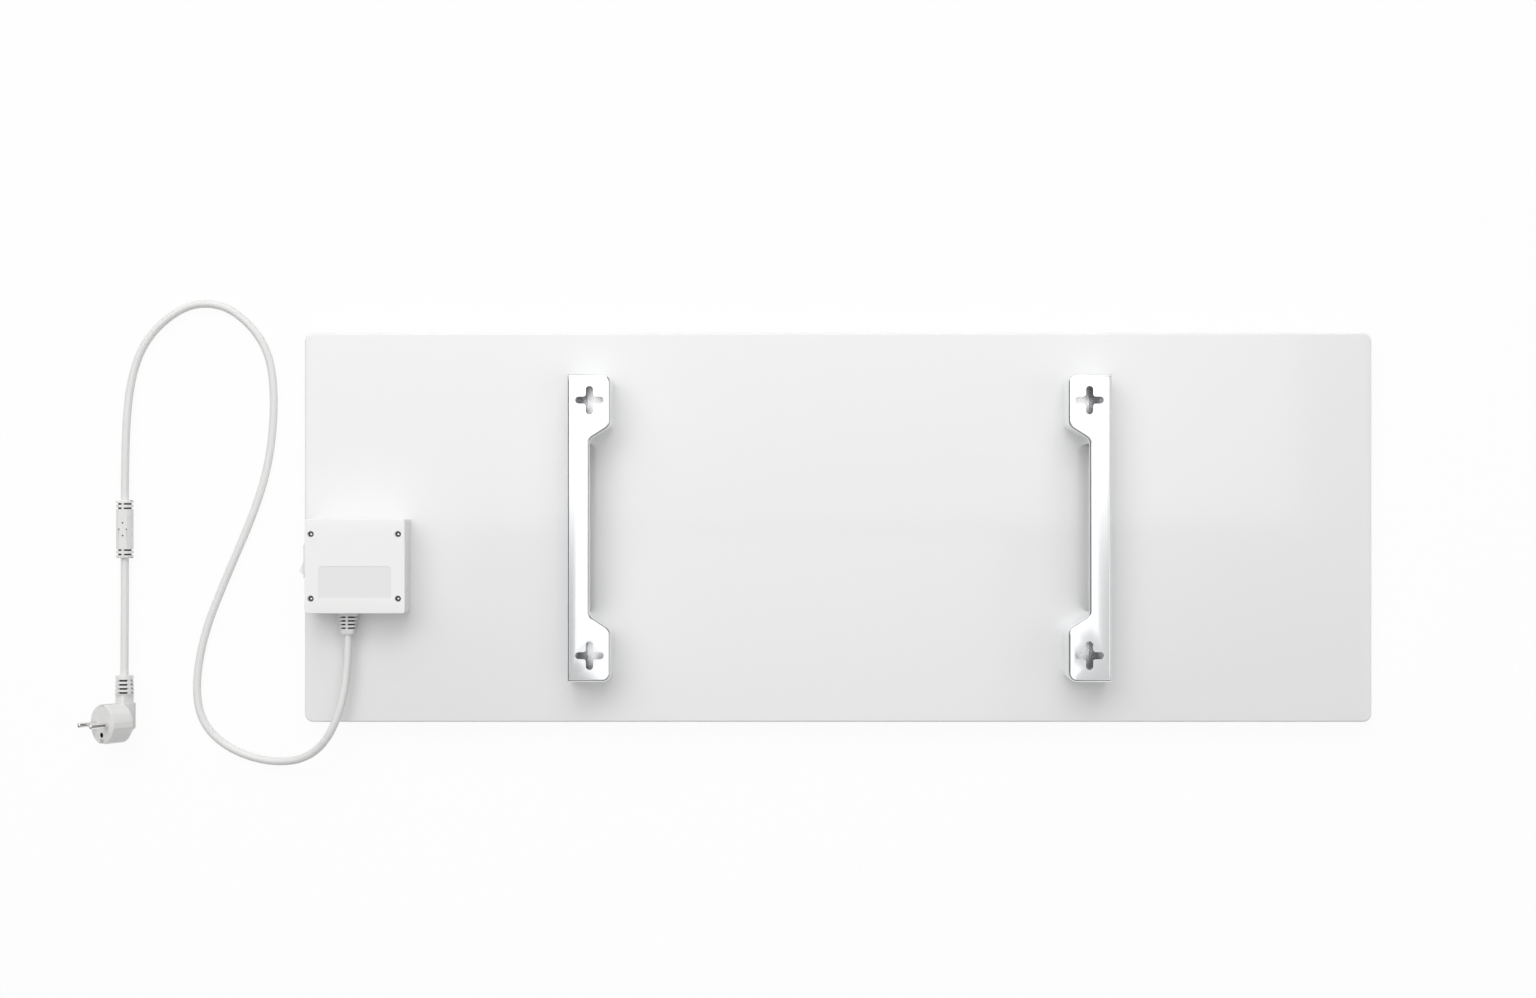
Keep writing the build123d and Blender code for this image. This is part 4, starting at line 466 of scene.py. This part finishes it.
# the end wall is opened for the switch, through both of its faces
cut = []
for wall_x in (low.x, low.x + box_wall):
    end_wall = max((f for f in hood.faces if all(abs(v.co.x - wall_x) < touch for v in f.verts)),
                   key=lambda f: f.calc_area())
    frame_points = list(end_wall.verts)
    hood.faces.remove(end_wall)
    edge = [hood.verts.new((wall_x, switch_y + y, switch_z + z))
            for y, z, _ in centred_corners(cutout_half_y, cutout_half_z, 0)]
    flat(hood, frame_points, edge, normal=(-1, 0, 0))
    cut.append(edge)
walls(hood, *cut)
box_plastic = grained("box_plastic", (0.91, 0.91, 0.905), 0.38, cloud=12, spread=0.01, grain=1800,
                      depth=0.00003)
bare_plate = grained("bare_plate", (0.83, 0.83, 0.825), 0.3, cloud=30, spread=0.012, grain=700,
                     depth=0.00001)
cover = set_down(faced_out(hood), "box_cover", box_plastic, ["terminal_box_cover"])
cover.data.materials.append(bare_plate)

# ---------------------------------------------------------------- cover screws
# Four small screws of dark zinc-plated steel, sunk in the cover's recesses; their dark heads also
# paint the recesses' shade. Their heads have a shallow dish in bright steel, a painted highlight.
screw_head, screw_shank, screw_edge = 0.0023, 0.0015, 0.0008
dish_radius, dish_slope, dish_depth = 0.0015, 0.0006, 0.0005
low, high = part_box("cover_screws")
screws = bmesh.new()
for x, y in screw_places:
    head, shank, dish = (round_plan(x, y, r) for r in (screw_head, screw_shank, dish_radius))
    levels = [(shank(), low.z), (shank(), recess_floor), (head(), recess_floor)]
    rings = stack(screws, levels + edge_round(head, screw_edge, high.z))
    drive = stack(screws, [(dish(dish_slope), high.z - dish_depth), (dish(), high.z)])
    flat(screws, rings[0])
    flat(screws, rings[-1], drive[-1])
    # the dish floor takes the bright steel, a painted highlight
    second_finish(flat(screws, drive[0])["geom"])
dark_zinc_and_shade = grained("dark_zinc_and_shade", (0.13, 0.13, 0.14), 0.28, cloud=300, spread=0.08, metallic=1.0)
heads = set_down(faced_out(screws), "cover_screws", dark_zinc_and_shade, ["cover_screws"])
heads.data.materials.append(foot_steel_and_dish_highlight)

# ---------------------------------------------------------------- rocker switch
# The switch's white case snaps into the end wall, with a bezel outside and a deep well that the
# rocker turns in. The glossy rocker has two flats that meet over its pivot.
end_wall_x, pivot_x = -0.493, -0.4908
bezel_height, bezel_edge = 0.0018, 0.0006
case_depth, well_depth, well_lip = 0.0207, 0.0192, 0.0003
bezel_plan = plan_of(centred_corners(0.0125, 0.01535, 0.0009))
well_plan = plan_of(centred_corners(0.010, 0.013, 0.0006))
case_plan = plan_of(centred_corners(0.011, 0.014, 0.0006))
facing_end = Matrix((
    (0, 0, -1, end_wall_x), (0, 1, 0, switch_y), (1, 0, 0, switch_z), (0, 0, 0, 1)))
case = bmesh.new()
outside = stack(case, [(case_plan(), -case_depth), (case_plan(), 0), (bezel_plan(), 0)]
                + edge_round(bezel_plan, bezel_edge, bezel_height))
well = stack(case, [(well_plan(), -well_depth), (well_plan(), bezel_height - well_lip),
                    (well_plan(-well_lip), bezel_height)])
flat(case, outside[0])
flat(case, outside[-1], well[-1])
flat(case, well[0])
case.transform(facing_end)
switch_plastic = grained("switch_case", (0.80, 0.80, 0.79), 0.4)
set_down(faced_out(case), "switch_case", switch_plastic, ["switch_housing"])

rocker_radius, rocker_half, crown, tilt = 0.0126, 0.0096, 0.00409, radians(12)
skirt, rocker_edge = 5, 0.0005       # the round goes on 5 degrees below the pivot
# where the tilted flat, which passes the pivot at the crown's height, meets the round
tip_a = (sqrt(rocker_radius ** 2 * (1 + tan(tilt) ** 2) - crown ** 2)
         - tan(tilt) * crown) / (1 + tan(tilt) ** 2)
tip_b = crown + tan(tilt) * tip_a
tip_angle = degrees(asin(tip_b / rocker_radius))


def arc(radius, start, end, steps):
    """Points along an arc about the middle, from one angle to another in degrees."""
    angles = [radians(start + (end - start) * i / steps) for i in range(steps + 1)]
    return [Vector((cos(angle), sin(angle))) * radius for angle in angles]


profile = (arc(rocker_radius, -skirt, tip_angle, 6) + [Vector((0, crown))]
           + arc(rocker_radius, 180 - tip_angle, 180 + skirt, 6))
rocker = bmesh.new()
for end in stack(rocker, [(profile, -rocker_half), (profile, rocker_half)]):
    rocker.faces.new(end)
rocker.transform(
    Matrix.Translation((pivot_x, switch_y, switch_z))
    @ Matrix(((0, -1, 0), (1, 0, 0), (0, 0, 1))).to_4x4() @ Matrix.Rotation(-tilt, 4, "Z"))
rocker_plastic = grained("rocker_plastic", (0.88, 0.88, 0.88), 0.2, grain=900, depth=0.00001)
rocker_cap = set_down(faced_out(rocker), "rocker", rocker_plastic,
                      ["switch_rocker"], body="rocker", crease=10)
broken_edges(rocker_cap, rocker_edge, 3, angle=30)


# ---------------------------------------------------------------- cord strain relief
# A tapered PVC boot at the box, with four rows of slots on each side of a spine, a core round
# the cord and a plain collar at its end. The slots' floors are painted near-black, a painted
# shade.
boot_place, boot_length, boot_collar = (-0.457, -0.079, 0.031), 0.0203, 0.0199
boot_half, boot_taper, boot_corner = (0.0093, 0.0070), (0.0033, 0.0017), 0.0025
boot_slots, boot_widening, boot_draw_in = (0.0042, 0.0076, 0.0110, 0.0144), 1.45, 0.96
spine_half, slot_core, slot_width = 0.00095, 0.0044, 0.0016
spine_ways = [90, 270]


def gapped(rims, gaps):
    """An outline from rims across its spines and the stretches between them."""
    return [point for rim, gap in zip(rims, gaps) for point in rim + gap]


def core_gaps(core, half, ways, widen, steps=8):
    """The stretches of a core between spines of a given half width, made wider by a factor."""
    bend = degrees(asin(half / core))
    gaps = [arc(core, way + bend, after - bend, steps)
            for way, after in zip(ways, ways[1:] + [ways[0] + 360])]
    return [[p + Vector((copysign(max(0, abs(p.x) - half) * (widen - 1), p.x), 0)) for p in gap]
            for gap in gaps]


def slotted(shape, station, stops, slots, width, core, half, ways, widen=1.0):
    """Skins a body of changing section with slots cut across it down to its core, floors painted
    as shade.
    """
    levels = []
    marks = sorted([(z, 0) for z in stops] + [(z + way * width / 2, way)
                                              for z in slots for way in (-1, 1)])
    for z, way in marks:
        rims, gaps = station(z)
        whole = (gapped(rims, gaps), z)
        slit = (gapped(rims, core_gaps(core, half, ways, widen)), z)
        levels += {0: [whole], -1: [whole, slit], 1: [slit, whole]}[way]
    rings = stack(shape, levels)
    # the slot floors take the piece's second finish, which is painted shade
    second_finish([f for f in shape.faces if all(
        abs(v.co.y) < core + touch and abs(v.co.x) < core * widen for v in f.verts)])
    return rings


def two_spined(height, corner):
    """A section with a spine above and below, and a corner's stretch on all four sides."""
    rims = [[Vector((way * spine_half, way * height)), Vector((-way * spine_half, way * height))]
            for way in (1, -1)]
    left = [Vector((-p.x, p.y)) for p in corner[::-1]] + [Vector((-p.x, -p.y)) for p in corner]
    return rims, [left, [Vector((p.x, -p.y)) for p in corner[::-1]] + corner]


def boot_station(z):
    along = z / boot_length
    w, h = (half - taper * along for half, taper in zip(boot_half, boot_taper))
    corner = [p + Vector((w - boot_corner, h - boot_corner)) for p in arc(boot_corner, 0, 90, 6)]
    return two_spined(h, corner)


def collared(shape, rings, station, end, draw_in):
    """Closes a slotted relief, its end drawn in a little."""
    tip = ring(shape, [p * draw_in for p in gapped(*station(end))], end)
    walls(shape, rings[-1], tip)
    capped(shape, [rings[0], tip])


def hung_from(place):
    """A frame whose Z runs down the part's Y, as the cord does there."""
    return Matrix.Translation(place) @ Matrix(((1, 0, 0), (0, 0, -1), (0, 1, 0))).to_4x4()


boot = bmesh.new()
rings = slotted(boot, boot_station, (0, boot_collar), boot_slots, slot_width, slot_core,
                spine_half, spine_ways, boot_widening)
collared(boot, rings, boot_station, boot_length, boot_draw_in)
boot.transform(hung_from(boot_place))
moulded = grained("moulded_pvc", (0.80, 0.80, 0.79), 0.36, cloud=20, spread=0.015, grain=1500,
                  depth=0.00003)
# near-black painted shade for the floors of slots and small recesses
recess_painted_shade = grained("recess_painted_shade", (0.05, 0.05, 0.05), 0.6)
boot_piece = set_down(faced_out(boot), "strain_relief", moulded, ["strain_relief"])
boot_piece.data.materials.append(recess_painted_shade)


# ---------------------------------------------------------------- inline suppressor
# A square moulded housing round a ferrite core, with two slots at each end and the marks of the
# four pins that held the core in the mould. The floors of slots and marks are painted shade.
housing_place, housing_half, housing_end = (-0.6725, -0.0018, 0.0070), 0.0069, 0.0262
end_drop, end_steps = 0.001, (0.0262, 0.0266, 0.0269, 0.02712, 0.0272)
housing_bevel, bevel_round = 0.0026, 0.0008
housing_slots, housing_widening = (0.0197, 0.0238), 1.55
pin_mark, pin_mark_floor, mark_sides = 0.0008, 0.0054, 16
pin_marks = ([(-0.0036, 0)], [(0, -0.006), (0, 0.006)], [(0.0036, 0)])
strip_area = 0.00005         # least area of the long faces between two slots


def housing_station(z):
    past = max(0.0, abs(z) - housing_end) / end_drop
    w = housing_half - end_drop * (1 - sqrt(max(0.0, 1 - past ** 2)))
    corner = rounded([(0, -w, 0), (w, -w, 0), (w, w - housing_bevel, bevel_round),
                      (w - housing_bevel, w, bevel_round), (0, w, 0)], steps=3)[2:-1]
    return two_spined(w, corner)


housing = bmesh.new()
rings = slotted(housing, housing_station, [way * z for z in end_steps for way in (-1, 1)],
                [way * z for z in housing_slots for way in (-1, 1)], slot_width, slot_core,
                spine_half, spine_ways, housing_widening)
capped(housing, rings)
upper_side = sorted(
    (f for f in housing.faces if f.calc_area() > strip_area
     and all(abs(v.co.y - housing_half) < touch for v in f.verts)),
    key=lambda f: f.calc_center_median().x)
for strip, marks in zip(upper_side, pin_marks):
    border = list(strip.verts)
    housing.faces.remove(strip)
    mouths = []
    for x, z in marks:
        mouth, floor = (
            [housing.verts.new((p.x, y, p.y)) for p in round_plan(x, z, pin_mark, mark_sides)()]
            for y in (housing_half, pin_mark_floor))
        walls(housing, mouth, floor)
        # the mark's floor is painted shade
        second_finish(flat(housing, floor, normal=(0, 1, 0))["geom"])
        mouths.append(mouth)
    flat(housing, border, *mouths, normal=(0, 1, 0))
housing.transform(hung_from(housing_place))
suppressor = set_down(faced_out(housing), "suppressor", moulded, ["inline_housing"])
suppressor.data.materials.append(recess_painted_shade)

# ---------------------------------------------------------------- plug
# An angled mains plug moulded in white PVC: a round body with guide ribs and contact grooves, a
# wedge with a beaded grip edge, a square neck and a slotted relief. It lies rolled on its rim.
plug_roll, axis_foot, face_depth = radians(51.02), Vector((-0.672, -0.1837, 0.009576)), 0.0243
cord_frame = Matrix.Translation(axis_foot) @ Matrix((
    (sin(plug_roll), cos(plug_roll), 0, 0), (0, 0, 1, 0),
    (cos(plug_roll), -sin(plug_roll), 0, 0), (0, 0, 0, 1)))
face_frame = cord_frame @ Matrix((
    (1, 0, 0, 0), (0, 0, -1, -face_depth), (0, 1, 0, 0), (0, 0, 0, 1)))
plug_rim, plug_depth, plug_edge = 0.0185, 0.021, 0.0008
rib_rim, rib_half, groove_half = 0.0193, 0.0027, 0.0032
groove_floor, groove_end, notch_floor, notch_end = 0.0159, -0.016, 0.0136, -0.002
earth_offset, earth_radius, earth_depth = -0.010, 0.00305, 0.017


def plug_plan(floors=(), ribs=True):
    """The round body's outline, with its ribs and with grooves that are cut to given floors."""
    def outline(inset=0.0):
        points = []
        reach = plug_rim - inset
        rib, groove = (degrees(asin(half / reach)) for half in (rib_half, groove_half))
        for start in (0, 180):
            turn = Matrix.Rotation(radians(start), 2)
            if ribs:
                points += [turn @ Vector((rib_rim - inset, way * rib_half)) for way in (-1, 1)]
            else:
                points += arc(reach, start - rib, start + rib, 4)[1:-1]
            points += arc(reach, start + rib, start + 90 - groove, 14)
            if floors:
                cut = [Vector((groove_half, floor)) for floor in floors]
                points += [turn @ p for p in cut + [Vector((-p.x, p.y)) for p in cut[::-1]]]
            else:
                points += arc(reach, start + 90 - groove, start + 90 + groove, 4)[1:-1]
            points += arc(reach, start + 90 + groove, start + 180 - rib, 14)
        return points
    return outline


whole, grooved = plug_plan(), plug_plan([groove_floor])
notched, notched_rim = (plug_plan([groove_floor, notch_floor], ribs) for ribs in (True, False))
body = bmesh.new()
rings = stack(body, edge_round(whole, plug_edge, -plug_depth, way=-1) + [
    (whole(), groove_end), (grooved(), groove_end), (grooved(), notch_end),
    (notched(), notch_end), (notched(), -plug_edge), (notched_rim(), -plug_edge),
] + edge_round(notched_rim, plug_edge, 0)[1:])
earth_hole = round_plan(0, earth_offset, earth_radius)()
bore = stack(body, [(earth_hole, -earth_depth), (earth_hole, 0)])
flat(body, rings[0])
flat(body, bore[0])
flat(body, rings[-1], bore[-1])
body.transform(face_frame)
set_down(faced_out(body), "plug_case", moulded, ["plug_body", "plug_bridge"])

# the wedge and its beaded edge, cut off below on a slant, with a small mark on the upper flank
# whose floor is painted dark as shade
wedge_half, wedge_foot, wedge_start = 0.008, 0.019, 0.0235
bead_neck, bead_start, bead_half, bead_end = 0.0015, 0.0332, 0.002, 0.035
wedge_low, wedge_high = -0.0145, 0.0175
slant_height, slant_way = -0.0057, Vector((0, 0.0088, -0.01257))
flank_out = Vector((0.0097, 0.0065, 0)).normalized()
dot_middle, dot_radius, dot_depth = Vector((0.00666, 0.0255 - face_depth, 0.012)), 0.0008, 0.0012
grip_edge = 0.0005
flank = [(wedge_half, wedge_foot), (wedge_half, wedge_start), (bead_neck, bead_start),
         (bead_half, bead_start), (bead_half, bead_end)]
profile = [Vector((x, depth - face_depth)) for x, depth in flank]
profile += [Vector((-p.x, p.y)) for p in profile[::-1]]
grip = bmesh.new()
capped(grip, stack(grip, [(profile, wedge_low), (profile, wedge_high)]))
cut_away = bmesh.ops.bisect_plane(
    grip, geom=grip.verts[:] + grip.edges[:] + grip.faces[:], dist=touch,
    plane_co=(0, bead_end - face_depth, slant_height), plane_no=slant_way.normalized(),
    clear_outer=True)["geom_cut"]
bmesh.ops.triangle_fill(grip, use_beauty=True, edges=[
    e for e in cut_away if isinstance(e, bmesh.types.BMEdge)])
upper_flank = max((f for f in grip.faces if abs(f.normal.dot(flank_out)) > 0.999
                   and f.calc_center_median().x > 0), key=lambda f: f.calc_area())
border = list(upper_flank.verts)
grip.faces.remove(upper_flank)
flank_along = Vector((-flank_out.y, flank_out.x, 0))
mouth, floor = (
    [grip.verts.new(dot_middle - flank_out * depth + flank_along * p.x + Vector((0, 0, p.y)))
     for p in round_plan(0, 0, dot_radius, mark_sides)()] for depth in (0, dot_depth))
walls(grip, mouth, floor)
# painted shade on the mark's floor
second_finish(flat(grip, floor, normal=flank_out)["geom"])
flat(grip, border, mouth, normal=flank_out)
grip.transform(cord_frame)
plug_grip = set_down(faced_out(grip), "plug_grip", moulded)
plug_grip.data.materials.append(recess_painted_shade)
broken_edges(plug_grip, grip_edge, 3, angle=25)

# the neck, from the pins' level up to the relief
neck_half, neck_corner, neck_length = 0.0065, 0.002, 0.0267
neck_foot_edge, neck_top_edge = 0.0008, 0.0006
neck_plan = plan_of(centred_corners(neck_half, neck_half, neck_corner))
neck = bmesh.new()
capped(neck, stack(neck, edge_round(neck_plan, neck_foot_edge, 0, way=-1)
                   + edge_round(neck_plan, neck_top_edge, neck_length)))
neck.transform(cord_frame)
set_down(faced_out(neck), "plug_neck", moulded)

relief_root, relief_taper, relief_length, relief_collar = 0.0089, 0.0009, 0.0174, 0.0172
relief_slots, relief_slot, relief_draw_in = (0.0016, 0.0054, 0.0092, 0.0130), 0.0019, 0.975
relief_core, relief_spine = 0.0062, 0.0013
relief_ways = [0, 90, 180, 270]


def relief_station(z):
    reach = relief_root - relief_taper * z / relief_length
    bend = degrees(asin(relief_spine / reach))
    rims = [arc(reach, way - bend, way + bend, 3) for way in relief_ways]
    return rims, [arc(reach, way + bend, way + 90 - bend, 7)[1:-1] for way in relief_ways]


relief = bmesh.new()
rings = slotted(relief, relief_station, (0, relief_collar), relief_slots, relief_slot, relief_core,
                relief_spine, relief_ways)
collared(relief, rings, relief_station, relief_length, relief_draw_in)
relief.transform(cord_frame @ Matrix.Translation((0, 0, neck_length)))
relief_piece = set_down(faced_out(relief), "plug_relief", moulded)
# the relief's slot floors carry the painted shade
relief_piece.data.materials.append(recess_painted_shade)

# two solid round pins of nickel-plated brass
pin_x, pin_radius, pin_nose, pin_root, pin_length = 0.0095, 0.0024, 0.0015, 0.012, 0.019
nickel = grained("nickel_plate", (0.80, 0.79, 0.77), 0.16, cloud=80, spread=0.03, metallic=1.0)
pins = bmesh.new()
for way in (-1, 1):
    pin = round_plan(way * pin_x, 0, pin_radius)
    capped(pins, stack(pins, [(pin(), -pin_root)] + edge_round(pin, pin_nose, pin_length)))
pins.transform(face_frame)
set_down(faced_out(pins), "plug_contacts", nickel, ["plug_pins"])

# ---------------------------------------------------------------- inside, fasteners and contacts
# Pieces that keep the shape of their solids: the heating stack, the leads, the terminals and the
# plated fasteners. Each takes the finish of its own material.
finishes = {
    "film": grained("carbon_film", (0.05, 0.05, 0.05), 0.5, cloud=60, spread=0.2),
    "mica": grained("mica_sheet", (0.55, 0.47, 0.32), 0.35, cloud=90, spread=0.25),
    "foil": grained("reflector_foil", (0.88, 0.88, 0.89), 0.15, cloud=40, spread=0.03,
                    metallic=1.0),
    "wool": grained("mineral_board", (0.62, 0.56, 0.40), 0.95, cloud=120, spread=0.18, grain=1500,
                    depth=0.0004),
    "ceramic": grained("ceramic", (0.80, 0.78, 0.72), 0.4, cloud=30, spread=0.04),
    "copper": grained("copper_parts", (0.83, 0.48, 0.32), 0.28, cloud=40, spread=0.08,
                      metallic=1.0),
    "lead_brown": grained("brown_lead", (0.16, 0.07, 0.03), 0.5),
    "lead_blue": grained("blue_lead", (0.03, 0.12, 0.42), 0.5),
    "lead_earth": grained("earth_lead", (0.25, 0.45, 0.06), 0.5, cloud=200, spread=0.5),
    "core_mix": grained("cord_core", (0.30, 0.16, 0.08), 0.5, cloud=50, spread=0.3),
    "ferrite": grained("ferrite", (0.04, 0.04, 0.045), 0.55, cloud=200, spread=0.2),
    "spring_steel": grained("spring_steel", (0.4, 0.4, 0.41), 0.3, cloud=90, spread=0.05,
                            metallic=1.0),
    "grommet": grained("black_grommet", (0.02, 0.02, 0.02), 0.6),
    "base_grey": grained("grey_plastic", (0.60, 0.60, 0.59), 0.5),
    "pin_metal": nickel,
    "bright_steel": zinc, "panel_white": enamel, "bracket_white": bright_steel,
    "box_white": box_plastic, "switch_case": switch_plastic, "rocker_white": rocker_plastic,
    "cord_white": cord_finish, "plug_white": moulded,
}
slot_of = {s["node"]: s["material_slot"] for s in frame["record"]["subparts"]}
for node, shown in nodes.items():
    shown.data.materials.clear()
    shown.data.materials.append(finishes[slot_of[node]])

# ---------------------------------------------------------------- surface and light
# A large pale table under the heater, in a room with six softboxes and a sky in bands. To the
# camera and in reflections the table is nearly white, as a lit backdrop is.
table_half = 6
white_share = 0.93
table = bpy.data.meshes.new("table")
top = bmesh.new()
bmesh.ops.create_grid(top, x_segments=1, y_segments=1, size=table_half)
top.to_mesh(table)
top.free()
table_top = bpy.data.objects.new("table", table)
bpy.context.scene.collection.objects.link(table_top)
pale = bpy.data.materials.new("pale_table")
pale.use_nodes = True
tree = pale.node_tree
board = tree.nodes["Principled BSDF"]
board.inputs["Base Color"].default_value = (0.9, 0.9, 0.9, 1)
board.inputs["Roughness"].default_value = 0.9
board.inputs["Specular IOR Level"].default_value = 0.0
glow = tree.nodes.new("ShaderNodeEmission")
glow.inputs["Color"].default_value = (1, 1, 1, 1)
mix = tree.nodes.new("ShaderNodeMixShader")
path = tree.nodes.new("ShaderNodeLightPath")
seen = path.outputs["Is Camera Ray"]
for kind in ("Is Glossy Ray", "Is Transmission Ray"):
    either = tree.nodes.new("ShaderNodeMath")
    either.operation = "ADD"
    tree.links.new(seen, either.inputs[0])
    tree.links.new(path.outputs[kind], either.inputs[1])
    seen = either.outputs[0]
share = tree.nodes.new("ShaderNodeMath")
share.operation = "MULTIPLY"
share.inputs[1].default_value = white_share
share.use_clamp = True
tree.links.new(seen, share.inputs[0])
tree.links.new(share.outputs[0], mix.inputs["Fac"])
tree.links.new(board.outputs["BSDF"], mix.inputs[1])
tree.links.new(glow.outputs["Emission"], mix.inputs[2])
tree.links.new(mix.outputs["Shader"], tree.nodes["Material Output"].inputs["Surface"])
table.materials.append(pale)

# The sky's level by the upward share of its direction, from the horizon to straight above.
horizon, zenith = (0.45, 0.45, 0.45, 1), (0.52, 0.52, 0.53, 1)
sky_bands = ((0.06, 0.45), (0.14, 0.03), (0.54, 0.04), (0.64, 0.65), (0.80, 0.65), (0.88, 0.52))
world = bpy.data.worlds.new("studio")
bpy.context.scene.world = world
world.use_nodes = True
sky = world.node_tree
room = sky.nodes["Background"]
direction = sky.nodes.new("ShaderNodeTexCoord")
axes = sky.nodes.new("ShaderNodeSeparateXYZ")
ramp = sky.nodes.new("ShaderNodeValToRGB")
sky.links.new(direction.outputs["Generated"], axes.inputs["Vector"])
sky.links.new(axes.outputs["Z"], ramp.inputs["Fac"])
sky.links.new(ramp.outputs["Color"], room.inputs["Color"])
bands = ramp.color_ramp.elements
bands[0].position, bands[0].color = 0.0, horizon
bands[1].position, bands[1].color = 1.0, zenith
for position, level in sky_bands:
    bands.new(position).color = (level, level, level, 1)
room.inputs["Strength"].default_value = 1.0

# Each softbox's name, centre, size, radiance and the point that it faces.
softboxes = (
    ("overhead", (-0.74, 1.33, 2.5), (3.7, 2.7), 0.63, (-0.74, 1.33, 0)),
    ("fill", (-0.01, -0.63, 2.5), (0.92, 1.15), 0.60, (-0.01, -0.63, 0)),
    ("soft_fill", (1.05, -0.63, 2.5), (1.2, 1.15), 0.07, (1.05, -0.63, 0)),
    ("window", (-3.9, 4.9, 4.9), (6, 6), 1.05, (0, 0, 0)),
    ("high_window", (0.5, 6, 4), (5, 5), 1.45, (0, 0, 0)),
    ("side_window", (6, 0, 4), (5, 5), 0.45, (0, 0, 0)),
)
power_of_radiance = 4        # watts per square metre of lamp
for name, centre, size, radiance, aim in softboxes:
    lamp = bpy.data.lights.new(name, "AREA")
    lamp.shape = "RECTANGLE"
    lamp.size, lamp.size_y = size
    lamp.energy = power_of_radiance * radiance * size[0] * size[1]
    box = bpy.data.objects.new(name, lamp)
    box.location = centre
    box.rotation_euler = (Vector(aim) - Vector(centre)).to_track_quat("-Z", "Y").to_euler()
    bpy.context.scene.collection.objects.link(box)
